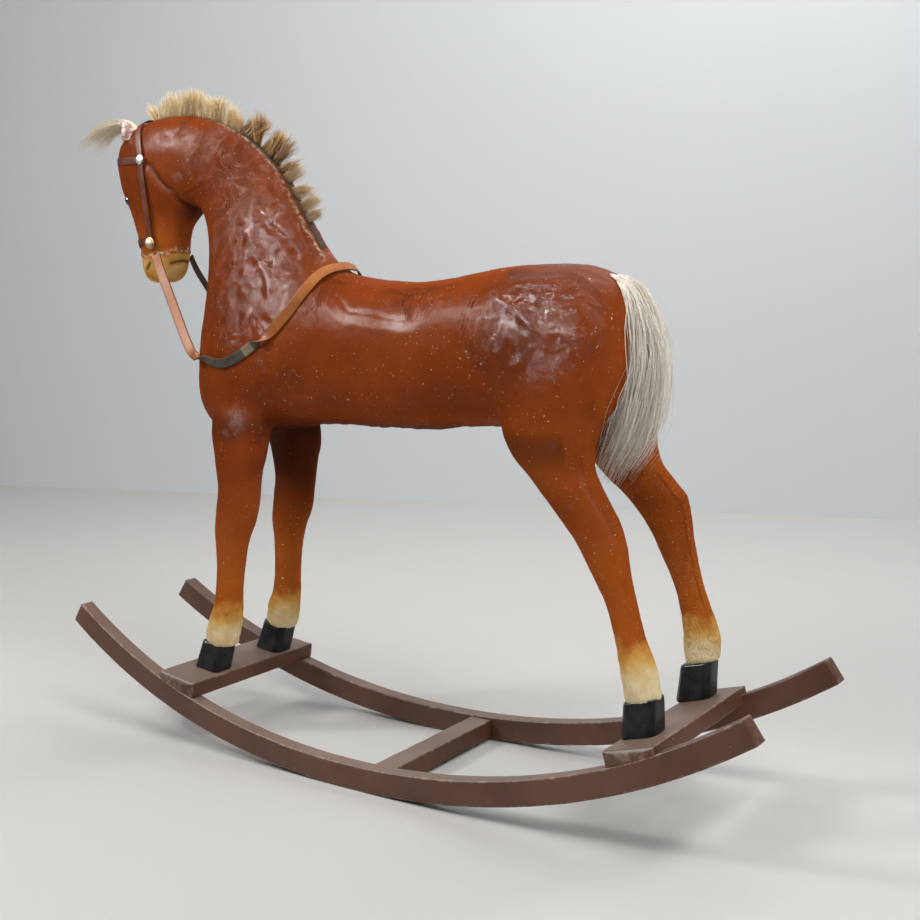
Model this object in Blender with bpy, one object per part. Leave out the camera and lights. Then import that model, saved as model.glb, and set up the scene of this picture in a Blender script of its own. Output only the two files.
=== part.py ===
"""Rocking horse: a hessian-and-papier-mache horse on two sawn wooden rockers.

Frame: origin on the floor under the middle of the bounding box, +X towards the head,
+Y the horse's left, +Z up. Lengths in the tables are millimetres and are scaled by MM.
"""

import math

import bpy
import numpy as np
from mathutils import Vector

MM = 0.001
REST_X = -11.0        # the rockers' lowest point, measured from the middle of the box
GAP = 0.3             # clearance between neighbouring pieces
FIT = 0.25            # clearance round a screw or dowel

# rockers
ROCKER_FRONT = 550.0
ROCKER_REAR = -573.0
EXTRA_LEFT = (5.0, 0.0)     # the left rocker is this much longer at the front and the rear
EXTRA_RIGHT = (1.0, 9.0)   # and the right one this much
ROCKER_H = 34.0
ROCKER_T = 23.0
ROCKER_C2 = 4.2e-4    # height of the underside: C2 x^2 + C4 x^4
ROCKER_C4 = 2.6e-10
ROCKER_CHAMFER = 1.6
ROCKER_END_ROUND = 3.0
REST_FLAT = 23.0      # half length of the level facet that the horse rests on
HALF_WIDTH_FRONT = 123.0
HALF_WIDTH_REAR = 144.0
SPRING_OUT = 14.0     # how far the slat springs each rocker outwards at mid length

# platforms: (x, top z) of the front and rear edge of each, and the thickness
FRONT_BOARD = ((357.0, 105.5), (286.5, 96.0))
REAR_BOARD = ((-380.5, 124.2), (-448.0, 142.3))
FRONT_BOARD_T = 23.0
REAR_BOARD_T = 21.0
BOARD_CHAMFER = 1.5
BOARD_BULGE = 0.8
SLAT_X = (-27.5, -62.5)
SLAT_Z = (4.5, 31.5)

# hooves: bottom centre x, y, length, width, lean of the top in x, height
HOOF_FL = (317.0, 64.0, 46.0, 40.0, -14.0, 42.0)
HOOF_FR = (315.0, -72.0, 47.0, 41.0, -16.0, 46.0)
HOOF_RL = (-404.0, 82.0, 47.0, 42.0, 0.0, 45.0)
HOOF_RR = (-398.0, -98.0, 47.0, 42.0, -3.0, 50.0)
HOOF_TOP_SHRINK = 0.92
HOOF_CORNER = 0.30

# body skin: ((top x, z), (bottom x, z), half width, crest taper)
BODY = (
    ((-352, 632), (-361, 585), 34, 0.00),
    ((-344, 656), (-357, 552), 66, 0.00),
    ((-323, 680), (-344, 522), 88, 0.02),
    ((-285, 697), (-303, 500), 97, 0.04),
    ((-230, 700), (-232, 490), 96, 0.05),
    ((-165, 696), (-160, 488), 90, 0.05),
    ((-110, 688), (-105, 484), 86, 0.04),
    ((-40, 678), (-40, 477), 86, 0.03),
    ((30, 680), (40, 476), 86, 0.03),
    ((88, 689), (115, 476), 84, 0.05),
    ((115, 699), (190, 468), 82, 0.10),
    ((131, 711), (262, 456), 80, 0.16),
    ((144, 727), (322, 453), 76, 0.20),
    ((158, 747), (359, 490), 71, 0.22),
    ((175, 773), (363, 552), 63, 0.22),
    ((196, 805), (355, 612), 55, 0.20),
    ((218, 836), (348, 665), 48, 0.18),
    ((250, 867), (346, 712), 43, 0.16),
    ((292, 895), (348, 750), 40, 0.14),
    ((335, 914), (356, 776), 38, 0.12),
    ((378, 925), (367, 788), 38, 0.08),
    ((425, 929), (377, 788), 40, 0.02),
    ((473, 925), (387, 780), 42, -0.04),
    ((511, 912), (397, 771), 42, -0.06),
    ((535, 893), (405, 762), 40, -0.06),
    ((542, 868), (410, 753), 38, -0.04),
    ((535, 835), (413, 745), 36, 0.00),
    ((522, 800), (415, 735), 34, 0.02),
    ((509, 764), (417, 723), 31, 0.04),
    ((500, 731), (419, 709), 29, 0.04),
    ((497, 706), (423, 696), 28, 0.00),
    ((491, 689), (431, 686), 24, 0.00),
    ((481, 680), (443, 680), 16, 0.00),
)
BODY_SQUARENESS = 2.25
BODY_AROUND = 28
BODY_STEPS = 2
WALL = 7.0
INNER_FIRST = 1.2
INNER_LAST = 30.2
INNER_STEP = 1.0
INNER_AROUND = 18

# legs: (z, x, y, half length in x, half width in y)
LEG_FL = (
    (548, 262, 40, 34, 22),
    (500, 262, 50, 46, 27),
    (460, 257, 57, 50, 31),
    (430, 255, 61, 43, 31),
    (405, 257, 62, 36, 30),
    (380, 258, 62, 33, 28),
    (352, 262, 62, 33, 27),
    (330, 266, 62, 32, 26),
    (308, 272, 62, 28, 24),
    (285, 275, 62, 24, 21),
    (255, 278, 62, 22, 19),
    (222, 281, 63, 21.5, 19),
    (196, 284, 63, 23, 20),
    (175, 290, 63, 25.5, 22),
    (156, 294, 64, 26, 22),
    (142, 298, 64, 24, 20.5),
)
LEG_RL = (
    (655, -275, 34, 50, 28),
    (610, -283, 44, 72, 42),
    (565, -278, 52, 80, 49),
    (525, -268, 58, 76, 47),
    (490, -262, 63, 66, 42),
    (462, -267, 66, 55, 37),
    (438, -281, 67, 46, 33),
    (410, -303, 69, 42, 30),
    (383, -325, 71, 38, 27),
    (358, -341, 73, 32, 24.5),
    (327, -354, 75, 26, 22),
    (294, -368, 77, 20.5, 18),
    (267, -377, 78, 19, 17),
    (242, -386, 80, 19.5, 18),
    (215, -395, 81, 21.5, 19.5),
    (192, -401, 82, 22.5, 20.5),
    (175, -405, 82, 21.5, 20),
)
LEG_RR = (
    (655, -278, 34, 50, 28),
    (610, -287, 44, 72, 42),
    (565, -285, 54, 80, 49),
    (525, -280, 62, 76, 47),
    (490, -280, 70, 66, 42),
    (462, -287, 77, 57, 37),
    (438, -301, 83, 49, 33),
    (415, -320, 88, 46, 31),
    (398, -336, 91, 43.5, 29),
    (374, -351, 92, 36, 25.5),
    (345, -363, 93, 28, 22),
    (315, -373, 94, 24, 19),
    (281, -385, 95, 20.5, 17.5),
    (248, -396, 96, 21, 18),
    (215, -404, 97, 24, 20),
    (195, -406, 97, 23.5, 20),
    (182, -407, 97, 22, 19.5),
)
LEG_SQUARENESS = 2.15
LEG_AROUND = 16
LEG_STEPS = 2
RIGHT_FRONT_SHIFT = (2.0, 8.0)   # how far the right foreleg's foot stands back and out

# the wooden core
BOLSTER_FRONT = ((228.0, 300.0), 50.0, (532.0, 585.0))
BOLSTER_REAR = ((-304.0, -240.0), 74.0, (545.0, 600.0))
SPINE = (20.0, (556.0, 584.0))
NECK_POST = ((262.0, 590.0), (332.0, 850.0), 18.0, 40.0)
DOWEL_R = 8.0
DOWEL_FRONT = (262.0, 52.0, 432.0, 560.0)
DOWEL_REAR = (-272.0, 64.0, 452.0, 575.0)

# fasteners
SHANK_R = 2.0
HEAD_R = 4.0
HEAD_H = 2.5
NAIL_R = 1.4
NAIL_HEAD_R = 3.0
NAIL_HEAD_H = 1.0

# harness, as places on the head's skin: (station, turn) with turn 0 on top and 0.25 on the left
STRAP_T = 1.8
STRAP_W = 11.5
STRAP_LIFT = 0.9
BROW_STUD = (22.65, 0.2175)
NOSE_STUD = (28.05, 0.2725)
HEADSTALL_ROUTE = (
    (28.35, 0.273), NOSE_STUD, (26.3, 0.290), (24.35, 0.290), (23.3, 0.252), BROW_STUD,
    (22.45, 0.180), (22.35, 0.135), (22.3, 0.085), (22.2, 0.04), (22.15, 0.0),
)
BROWBAND_ROUTE = (
    (22.5, 0.225), (22.95, 0.211), (23.4, 0.1925), (24.23, 0.15), (24.8, 0.09), (25.05, 0.04),
    (25.1, 0.0),
)
NOSEBAND_ROUTE = (
    (27.95, 0.29), (28.12, 0.25), (28.35, 0.19), (28.62, 0.13), (28.75, 0.06), (28.8, 0.0),
)
SILVER_R = 7.0
BRASS_R = 9.0

# reins: x, y, z of the middle of the strap from the left nose stud to the right one
REIN_W = 15.0
REIN_T = 2.2
REIN_ROUTE = (
    (441, 37, 720),
    (431, 39, 699),
    (411, 44, 668),
    (386, 50, 628),
    (361, 58, 592),
    (339, 66, 573),
    (311, 72.5, 567),
    (274, 79.5, 562),
    (244, 81, 570),
    (211, 82, 588),
    (177, 82.5, 607.5),
    (146.5, 76, 638.5),
    (129, 64, 666),
    (113.5, 41, 691.5),
    (102, 0, 700),
)

# mane: crest positions as stations of the body skin, and the hair's height and half width
MANE_SLOT_STATIONS = (12.0, 21.9)
MANE_SLOT_HALF = 5.0
MANE_SLOT_DEPTH = 9.0
MANE_TUFTS = (
    ("mane_hair_front", 18.1, 21.85, (36.0, 40.0, 37.0, 26.0), 7.0),
    ("mane_hair_middle", 16.1, 18.0, (38.0, 44.0, 40.0), 7.0),
    ("mane_hair_rear", 13.6, 16.0, (20.0, 38.0, 34.0), 7.0),
)
FORELOCK = (
    (519, 0, 918, 9),
    (538, 4, 923, 13),
    (559, 10, 916, 17),
    (579, 14, 905, 18),
    (597, 17, 890, 12),
)

# tail: x, z of the hair's middle, half depth in x, half width in y
TAIL = (
    (-331, 685, 4, 6),
    (-341, 675, 8, 12),
    (-352, 655, 11, 21),
    (-363, 620, 14, 31),
    (-372, 575, 22, 36),
    (-371, 530, 30, 36),
    (-356, 485, 31, 33),
    (-336, 448, 24, 25),
    (-322, 420, 11, 12),
)
TAIL_PLUG = ((-292.0, 658.0), (-319.0, 670.5), 10.0)

EAR_LEFT = (505.0, 25.0, 899.0, 27.0)
EAR_RIGHT = (505.0, -25.0, 899.0, 34.0)
EYE_PLACE = (26.55, 0.135)
EYE_R = 7.5

COLOURS = {
    "frame_paint": ((0.115, 0.052, 0.032), 0.45, 0.0),
    "hoof_black": ((0.012, 0.012, 0.013), 0.25, 0.0),
    "hide_lacquer": ((0.23, 0.052, 0.014), 0.22, 0.0),
    "raw_wood": ((0.42, 0.27, 0.14), 0.7, 0.0),
    "steel": ((0.45, 0.44, 0.42), 0.4, 1.0),
    "hair_cream": ((0.70, 0.60, 0.42), 0.6, 0.0),
    "hair_brown": ((0.16, 0.09, 0.045), 0.6, 0.0),
    "strap_leather": ((0.12, 0.03, 0.012), 0.4, 0.0),
    "rein_leather": ((0.48, 0.16, 0.05), 0.45, 0.0),
    "brass": ((0.45, 0.27, 0.10), 0.35, 1.0),
    "nickel": ((0.62, 0.62, 0.60), 0.25, 1.0),
    "eye_glass": ((0.02, 0.015, 0.012), 0.08, 0.0),
}


# ---------------------------------------------------------------- helpers


def clear_scene():
    for ob in list(bpy.data.objects):
        bpy.data.objects.remove(ob, do_unlink=True)


def material(name):
    if name in bpy.data.materials:
        return bpy.data.materials[name]
    colour, rough, metal = COLOURS[name]
    mat = bpy.data.materials.new(name)
    mat.use_nodes = True
    shader = mat.node_tree.nodes["Principled BSDF"]
    shader.inputs["Base Color"].default_value = (*colour, 1.0)
    shader.inputs["Roughness"].default_value = rough
    shader.inputs["Metallic"].default_value = metal
    return mat


def add_mesh(name, points, faces, finish, smooth=False):
    """An object from points in millimetres; one material; facing outwards."""
    shifted = [((p[0] + REST_X) * MM, p[1] * MM, p[2] * MM) for p in points]
    mesh = bpy.data.meshes.new(name)
    mesh.from_pydata(shifted, [], faces)
    mesh.validate()
    if signed_volume(shifted, faces) < 0:
        mesh.flip_normals()
    mesh.polygons.foreach_set("use_smooth", [smooth] * len(mesh.polygons))
    mesh.materials.append(material(finish))
    mesh.update()
    ob = bpy.data.objects.new(name, mesh)
    bpy.context.scene.collection.objects.link(ob)
    return ob


def signed_volume(points, faces):
    total = 0.0
    for face in faces:
        a = Vector(points[face[0]])
        for i in range(1, len(face) - 1):
            total += a.dot(Vector(points[face[i]]).cross(Vector(points[face[i + 1]])))
    return total


def helper(ob):
    ob.hide_render = True
    ob.display_type = "WIRE"
    return ob


def cut(ob, cutter):
    helper(cutter)
    mod = ob.modifiers.new("cut_" + cutter.name, "BOOLEAN")
    mod.operation = "DIFFERENCE"
    mod.solver = "EXACT"
    mod.object = cutter


def rings_mesh(rings):
    """Points and faces of a closed tube through the rings, with a fan at each end."""
    count = len(rings[0])
    points = [tuple(p) for ring in rings for p in ring]
    faces = []
    for i in range(len(rings) - 1):
        for j in range(count):
            k = (j + 1) % count
            a = i * count
            faces.append((a + j, a + k, a + count + k, a + count + j))
    for base, order in ((0, -1), ((len(rings) - 1) * count, 1)):
        centre = np.mean(rings[0 if base == 0 else -1], axis=0)
        points.append(tuple(centre))
        tip = len(points) - 1
        for j in range(count):
            k = (j + 1) % count
            face = (base + j, base + k, tip)
            faces.append(face if order > 0 else face[::-1])
    return points, faces


def loft(name, rings, finish, smooth=True):
    points, faces = rings_mesh(rings)
    return add_mesh(name, points, faces, finish, smooth)


def spline(rows, t):
    """Catmull-Rom through rows of numbers, at t from 0 to len(rows) - 1."""
    rows = np.asarray(rows, float)
    last = len(rows) - 1
    i = int(min(max(math.floor(t), 0), last - 1))
    u = t - i
    p0 = rows[max(i - 1, 0)]
    p1 = rows[i]
    p2 = rows[i + 1]
    p3 = rows[min(i + 2, last)]
    return 0.5 * (
        2 * p1
        + (p2 - p0) * u
        + (2 * p0 - 5 * p1 + 4 * p2 - p3) * u * u
        + (3 * p1 - p0 - 3 * p2 + p3) * u**3
    )


def bent(value, power):
    return math.copysign(abs(value) ** power, value)


def revolve(name, profile, origin, axis, finish, around=12):
    """A round solid from (radius, height) pairs along an axis; the ends lie on the axis."""
    axis = Vector(axis).normalized()
    side = axis.orthogonal().normalized()
    other = axis.cross(side)
    origin = Vector(origin)
    rings = []
    for radius, height in profile:
        ring = []
        for j in range(around):
            turn = 2 * math.pi * j / around
            spoke = side * math.cos(turn) + other * math.sin(turn)
            ring.append(tuple(origin + axis * height + spoke * radius))
        rings.append(ring)
    return loft(name, rings, finish, smooth=True)


# ---------------------------------------------------------------- body skin


def body_rows():
    return [(t[0], t[1], b[0], b[1], w, k) for t, b, w, k in BODY]


def skin_point(station, turn, grow=0.0):
    """A point of the body's skin; turn 0 is the top, 0.25 the left, 0.5 the underside."""
    tx, tz, bx, bz, width, taper = spline(body_rows(), station)
    half = np.array([(tx - bx) / 2, (tz - bz) / 2])
    reach = np.linalg.norm(half)
    centre = np.array([(tx + bx) / 2, (tz + bz) / 2])
    angle = 2 * math.pi * turn
    power = 2.0 / BODY_SQUARENESS
    up = bent(math.cos(angle), power)
    side = bent(math.sin(angle), power)
    narrow = 1.0 - taper * math.cos(angle)
    place = centre + half / reach * (reach + grow) * up
    return np.array([place[0], (width + grow) * side * narrow, place[1]])


def skin_normal(station, turn):
    step = 0.02
    along = skin_point(station + step, turn) - skin_point(station - step, turn)
    about = skin_point(station, turn + step / 4) - skin_point(station, turn - step / 4)
    normal = np.cross(along, about)
    normal /= np.linalg.norm(normal)
    tx, tz, bx, bz, width, taper = spline(body_rows(), station)
    centre = np.array([(tx + bx) / 2, 0.0, (tz + bz) / 2])
    outward = skin_point(station, turn) - centre
    return normal if normal @ outward > 0 else -normal


def skin_ring(station, around, grow=0.0):
    return [skin_point(station, j / around, grow) for j in range(around)]


def skin_rings(first, last, step, around, grow=0.0):
    count = int(round((last - first) / step))
    return [skin_ring(first + (last - first) * i / count, around, grow) for i in range(count + 1)]


def body_shell():
    last = len(BODY) - 1
    outer, outer_faces = rings_mesh(skin_rings(0, last, 1.0 / BODY_STEPS, BODY_AROUND))
    inner, inner_faces = rings_mesh(
        skin_rings(INNER_FIRST, INNER_LAST, INNER_STEP, INNER_AROUND, -WALL)
    )
    if signed_volume(outer, outer_faces) < 0:
        outer_faces = [f[::-1] for f in outer_faces]
    if signed_volume(inner, inner_faces) > 0:
        inner_faces = [f[::-1] for f in inner_faces]
    offset = len(outer)
    inner_faces = [tuple(i + offset for i in f) for f in inner_faces]
    return add_mesh(
        "body_shell", outer + inner, outer_faces + inner_faces, "hide_lacquer", smooth=True
    )


def skin_cutter(name):
    """The body's outer form, a clearance larger, to cut the legs to."""
    rings = skin_rings(0, len(BODY) - 1, 1.0 / BODY_STEPS, BODY_AROUND, GAP)
    rings[0] = [p - (3 * GAP, 0.0, 0.0) for p in rings[0]]
    rings[-1] = [p - (0.0, 0.0, 3 * GAP) for p in rings[-1]]
    return loft(name, rings, "raw_wood")


# ---------------------------------------------------------------- legs and hooves


def leg_rings(rows, side, shift, floor_slope):
    """Rings down one leg; the last one lies in the slope of the hoof's top."""
    rings = []
    count = (len(rows) - 1) * LEG_STEPS
    top = rows[0][0]
    foot = rows[-1][0]
    for i in range(count + 1):
        t = i / LEG_STEPS
        z, x, y, a, b = spline(rows, t)
        down = (top - z) / (top - foot)
        x -= shift[0] * down
        y += shift[1] * down
        slope = floor_slope * max(0.0, min(1.0, (down - 0.8) / 0.2))
        ring = []
        for j in range(LEG_AROUND):
            angle = 2 * math.pi * j / LEG_AROUND
            dx = a * bent(math.cos(angle), 2 / LEG_SQUARENESS)
            dy = b * bent(math.sin(angle), 2 / LEG_SQUARENESS)
            ring.append((x + dx, side * y + dy, z + slope * dx))
        rings.append(ring)
    return rings


def board_slope(board):
    (x0, z0), (x1, z1) = board
    return (z1 - z0) / (x1 - x0)


def board_top(board, x):
    return board[0][1] + board_slope(board) * (x - board[0][0])


def hoof_top(hoof, board, x):
    """Height of the hoof's top plane at x; the plane is parallel to the platform."""
    return board_top(board, hoof[0]) + hoof[5] + board_slope(board) * (x - hoof[0] - hoof[4])


def leg(name, rows, side, shift, hoof, board):
    rings = leg_rings(rows, side, shift, board_slope(board))
    last = rings[-1]
    rings[-1] = [(x, y, hoof_top(hoof, board, x) + GAP) for x, y, z in last]
    return loft(name, rings, "hide_lacquer")


def hoof_block(name, hoof, board):
    """A leaning block with broad corner facets, square below and a little smaller on top."""
    x0, y0, length, width, lean, height = hoof
    rings = []
    for level, shrink in ((0.0, 1.0), (0.45, 0.99), (0.93, HOOF_TOP_SHRINK), (1.0, 0.82)):
        ring = []
        a = length / 2 * shrink
        b = width / 2 * shrink
        c = HOOF_CORNER
        outline = (
            (a, b * (1 - 1.4 * c)), (a * (1 - c), b), (-a * (1 - c), b), (-a, b * (1 - c)),
            (-a, -b * (1 - c)), (-a * (1 - c), -b), (a * (1 - c), -b), (a, -b * (1 - 1.4 * c)),
        )
        for dx, dy in outline:
            x = x0 + lean * level + dx
            z = board_top(board, x0) + board_slope(board) * dx + GAP
            ring.append((x, y0 + dy, z + (height - GAP) * level))
        rings.append(ring)
    return loft(name, rings, "hoof_black", smooth=False)


# ---------------------------------------------------------------- rocker frame


def under(x):
    flat = ROCKER_C2 * REST_FLAT**2 + ROCKER_C4 * REST_FLAT**4
    return ROCKER_C2 * x * x + ROCKER_C4 * x**4 - flat


def under_slope(x):
    return 2 * ROCKER_C2 * x + 4 * ROCKER_C4 * x**3


def half_width(x):
    """Distance from the middle plane to a rocker's outer face at x."""
    u = (ROCKER_FRONT - x) / (ROCKER_FRONT - ROCKER_REAR)
    straight = HALF_WIDTH_FRONT + (HALF_WIDTH_REAR - HALF_WIDTH_FRONT) * u
    return straight + SPRING_OUT * 4 * u * (1 - u)


def rocker_ends(side):
    extra = EXTRA_LEFT if side > 0 else EXTRA_RIGHT
    return ROCKER_FRONT + extra[0], ROCKER_REAR - extra[1]


def rocker_stations(side):
    """(x, inset) of each section: the level facet, even steps out, and the eased ends."""
    steps = 12
    front, rear = rocker_ends(side)
    ease = ((0.0, 1.0), (0.29, 0.29), (1.0, 0.0))
    stations = []
    for end, sign in ((rear, -1), (front, 1)):
        run = abs(end) - ROCKER_END_ROUND - REST_FLAT
        half = [(sign * (REST_FLAT + run * i / steps), 0.0) for i in range(steps)]
        for back, inset in reversed(ease):
            half.append((end - sign * back * ROCKER_END_ROUND, inset * ROCKER_END_ROUND))
        stations += half[::-1] if sign < 0 else half
    return stations


def rocker_rings(side, grow=0.0, tall=0.0):
    rings = []
    c = ROCKER_CHAMFER
    for x, inset in rocker_stations(side):
        slope = under_slope(x)
        if abs(x) <= REST_FLAT:
            slope = 0.0
        normal = np.array([-slope, 0.0, 1.0]) / math.hypot(1.0, slope)
        base = np.array([x, 0.0, under(x)])
        low = inset - grow - tall
        high = ROCKER_H - inset + grow
        outer = grow
        inner = -ROCKER_T - grow
        section = (
            (outer, low + c), (outer, high - c), (outer - c, high), (inner + c, high),
            (inner, high - c), (inner, low + c), (inner + c, low), (outer - c, low),
        )
        ring = []
        for lateral, up in section:
            p = base + normal * up
            ring.append((p[0], side * (half_width(p[0]) + lateral), p[2]))
        rings.append(ring)
    return rings


def rocker(name, side):
    return loft(name, rocker_rings(side), "frame_paint", smooth=False)


def platform(name, board, thickness):
    """A plank whose ends keep flush with the rockers' outer faces."""
    (x0, z0), (x1, z1) = board
    along = np.array([x1 - x0, z1 - z0])
    length = np.linalg.norm(along)
    along /= length
    down = np.array([-along[1], along[0]])
    if down[1] > 0:
        down = -down
    c = BOARD_CHAMFER
    section = (
        (c, 0), (length - c, 0), (length, c), (length, thickness - c),
        (length - c, thickness), (c, thickness), (0, thickness - c), (0, c),
    )
    rings = []
    for side, pull, shrink in ((1, 0.0, c), (1, c, 0.0), (-1, c, 0.0), (-1, 0.0, c)):
        ring = []
        for s, d in section:
            s2 = min(max(s, shrink), length - shrink)
            d2 = min(max(d, shrink), thickness - shrink)
            p = np.array([x0, z0]) + along * s2 + down * d2
            ring.append((p[0], side * (half_width(p[0]) - pull), p[1]))
        rings.append(ring)
    return loft(name, rings, "frame_paint", smooth=False)


def box(name, xs, ys, zs, finish, chamfer=1.5):
    """A plain block with chamfered long edges along y."""
    c = chamfer
    (x0, x1), (z0, z1) = sorted(xs), sorted(zs)
    section = (
        (x0 + c, z0), (x1 - c, z0), (x1, z0 + c), (x1, z1 - c),
        (x1 - c, z1), (x0 + c, z1), (x0, z1 - c), (x0, z0 + c),
    )
    rings = [[(x, y, z) for x, z in section] for y in ys]
    return loft(name, rings, finish, smooth=False)


# ---------------------------------------------------------------- fasteners


def screw(name, head, tip, finish="steel", shank=SHANK_R, top=HEAD_R, head_h=HEAD_H):
    head = Vector(head)
    tip = Vector(tip)
    length = (tip - head).length
    profile = ((top, 0.0), (shank, head_h), (shank, length - 3 * shank), (0.3, length))
    return revolve(name, profile, head, tip - head, finish, around=10)


def screw_hole(name, head, tip, shank=SHANK_R, top=HEAD_R, head_h=HEAD_H, mouth=6.0):
    """The clearance of a screw, open behind its head."""
    head = Vector(head)
    tip = Vector(tip)
    length = (tip - head).length
    profile = (
        (top + FIT, -mouth), (top + FIT, 0.2), (shank + FIT, head_h + 0.2),
        (shank + FIT, length - 3 * shank + 1), (0.8, length + 0.8),
    )
    return revolve(name, profile, head, tip - head, "raw_wood", around=10)


# ---------------------------------------------------------------- straps


def strap_rings(centres, normals, sides, width, thickness):
    """Sections of a flat strap: an edge-rounded rectangle at each point of the route."""
    rings = []
    h = width / 2
    e = min(0.6, thickness / 3)
    for p, n, b in zip(centres, normals, sides):
        section = (
            (-h + e, 0), (h - e, 0), (h, e), (h, thickness - e),
            (h - e, thickness), (-h + e, thickness), (-h, thickness - e), (-h, e),
        )
        rings.append([tuple(p + b * s + n * t) for s, t in section])
    return rings


def on_skin(route, lift):
    """Points, normals and strap sides for a route of (station, turn) places."""
    places = [skin_point(s, a) for s, a in route]
    normals = [skin_normal(s, a) for s, a in route]
    out = []
    for i, (p, n) in enumerate(zip(places, normals)):
        before = places[max(i - 1, 0)]
        after = places[min(i + 1, len(places) - 1)]
        along = after - before
        along -= n * (along @ n)
        along /= np.linalg.norm(along)
        out.append((p + n * lift, n, np.cross(n, along)))
    return zip(*out)


def resample(route, count):
    last = len(route) - 1
    return [tuple(spline(route, last * i / (count - 1))) for i in range(count)]


def harness_strap(name, left, count, lift):
    """A strap over the head, from its left half's route to the middle and on to the right."""
    right = [(station, -turn) for station, turn in reversed(left[:-1])]
    centres, normals, sides = on_skin(resample(list(left) + right, count), lift)
    rings = strap_rings(centres, normals, sides, STRAP_W, STRAP_T)
    return loft(name, rings, "strap_leather")


def headstall():
    """One strap from the left nose stud over the poll, lying over the other two straps."""
    return harness_strap("headstall", HEADSTALL_ROUTE, 45, STRAP_LIFT * 2 + STRAP_T)


def browband():
    return harness_strap("browband", BROWBAND_ROUTE, 25, STRAP_LIFT)


def noseband():
    """The band over the front of the nose, held by the studs at both ends."""
    return harness_strap("noseband", NOSEBAND_ROUTE, 25, STRAP_LIFT)


def stud(name, place, side, radius, dome, finish):
    station, turn = place
    n = skin_normal(station, turn * side)
    p = skin_point(station, turn * side) + n * (2 * STRAP_LIFT + 2 * STRAP_T + GAP)
    profile = (
        (radius, 0.0), (radius, 0.8), (radius * 0.86, dome * 0.55),
        (radius * 0.55, dome * 0.86), (radius * 0.12, dome),
    )
    return revolve(name, profile, p, n, finish, around=16)


def reins():
    """One strap from the left nose stud, round the shoulders and over the withers."""
    left = list(REIN_ROUTE)
    right = [(x, -y, z) for x, y, z in reversed(left[:-1])]
    route = resample(left + right, 57)
    pts = [np.array(r) for r in route]
    centres, normals, sides = [], [], []
    for i, p in enumerate(pts):
        along = pts[min(i + 1, len(pts) - 1)] - pts[max(i - 1, 0)]
        along /= np.linalg.norm(along)
        out = rein_outward(p)
        out -= along * (out @ along)
        out /= np.linalg.norm(out)
        centres.append(p)
        normals.append(out)
        sides.append(np.cross(out, along))
    rings = strap_rings(centres, normals, sides, REIN_W, REIN_T)
    return loft("reins", rings, "rein_leather")


def rein_outward(p):
    """The way the strap's face looks: away from the neck's middle line."""
    x, y, z = p
    axis = np.array([250.0 - 0.25 * (z - 580.0), 0.0, 590.0])
    out = p - axis
    if x > 330.0:
        out = np.array([-0.1, math.copysign(1.0, y), 0.0])
    return out


# ---------------------------------------------------------------- hair


def mane_rings(first, last, heights, half, count):
    rings = []
    for i in range(count):
        u = i / (count - 1)
        station = first + (last - first) * u
        low = skin_point(station, 0.0)
        n = skin_normal(station, 0.0)
        height = spline([(h,) for h in heights], u * (len(heights) - 1))[0]
        pinch = 0.55 if i in (0, count - 1) else 1.0
        lean = np.array([0.0, 0.0, 1.0])
        up = n * 0.75 + lean * 0.25
        up /= np.linalg.norm(up)
        ring = []
        for y, t in ((-half, 0), (half, 0), (half * 0.9, 0.6), (0, 1), (-half * 0.9, 0.6)):
            p = low + n * 1.2 + up * (height * t * (pinch if t else 1.0))
            ring.append((p[0], y * pinch, p[2]))
        rings.append(ring)
    return rings


def crest_strip(name, grow, raise_by, finish):
    """The strip that fills the crest slot, or with grow the slot's own cutter."""
    first, last = MANE_SLOT_STATIONS
    count = 15
    rings = []
    for i in range(count):
        u = i / (count - 1)
        station = first - 0.06 * (grow > 0) + (last - first + 0.12 * (grow > 0)) * u
        p = skin_point(station, 0.0)
        n = skin_normal(station, 0.0)
        half = MANE_SLOT_HALF + grow
        top = p + n * raise_by
        low = p - n * (MANE_SLOT_DEPTH + grow)
        rings.append([
            (top[0], -half, top[2]), (top[0], half, top[2]),
            (low[0], half, low[2]), (low[0], -half, low[2]),
        ])
    return loft(name, rings, finish, smooth=False)


def round_hair(name, rows, finish, around=12):
    """A tapering lock: rows of centre and two half sizes across its run."""
    rings = []
    pts = [np.array(r[:3], float) for r in rows]
    for i, row in enumerate(rows):
        along = pts[min(i + 1, len(pts) - 1)] - pts[max(i - 1, 0)]
        along /= np.linalg.norm(along)
        side = np.array([0.0, 1.0, 0.0])
        side -= along * (side @ along)
        side /= np.linalg.norm(side)
        other = np.cross(along, side)
        ring = []
        for j in range(around):
            angle = 2 * math.pi * j / around
            ring.append(tuple(
                pts[i] + side * row[4] * math.cos(angle) + other * row[3] * math.sin(angle)
            ))
        rings.append(ring)
    return loft(name, rings, finish)


def tail():
    rows = resample([(x, 0.0, z, a, b) for x, z, a, b in TAIL], 17)
    return round_hair("tail_hair", rows, "hair_cream", around=14)


def forelock():
    rows = resample([(x, y, z, r * 0.7, r) for x, y, z, r in FORELOCK], 9)
    return round_hair("forelock_hair", rows, "hair_cream", around=10)


def ear(name, place):
    x, y, z, tall = place
    side = math.copysign(1.0, y)
    axis = Vector((0.05, 0.12 * side, 1.0)).normalized()
    profile = (
        (9.5, 0.0), (10.5, tall * 0.25), (9.5, tall * 0.6), (6.0, tall * 0.88), (1.5, tall),
    )
    base = Vector((x, y, z))
    return revolve(name, profile, base, axis, "hide_lacquer", around=12)


def eye(name, side):
    station, turn = EYE_PLACE
    n = skin_normal(station, turn * side)
    p = skin_point(station, turn * side) + n * GAP
    profile = (
        (EYE_R, 0.0), (EYE_R * 0.9, EYE_R * 0.22), (EYE_R * 0.6, EYE_R * 0.42),
        (EYE_R * 0.12, EYE_R * 0.5),
    )
    return revolve(name, profile, p, n, "eye_glass", around=14)


# ---------------------------------------------------------------- assembly


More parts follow.
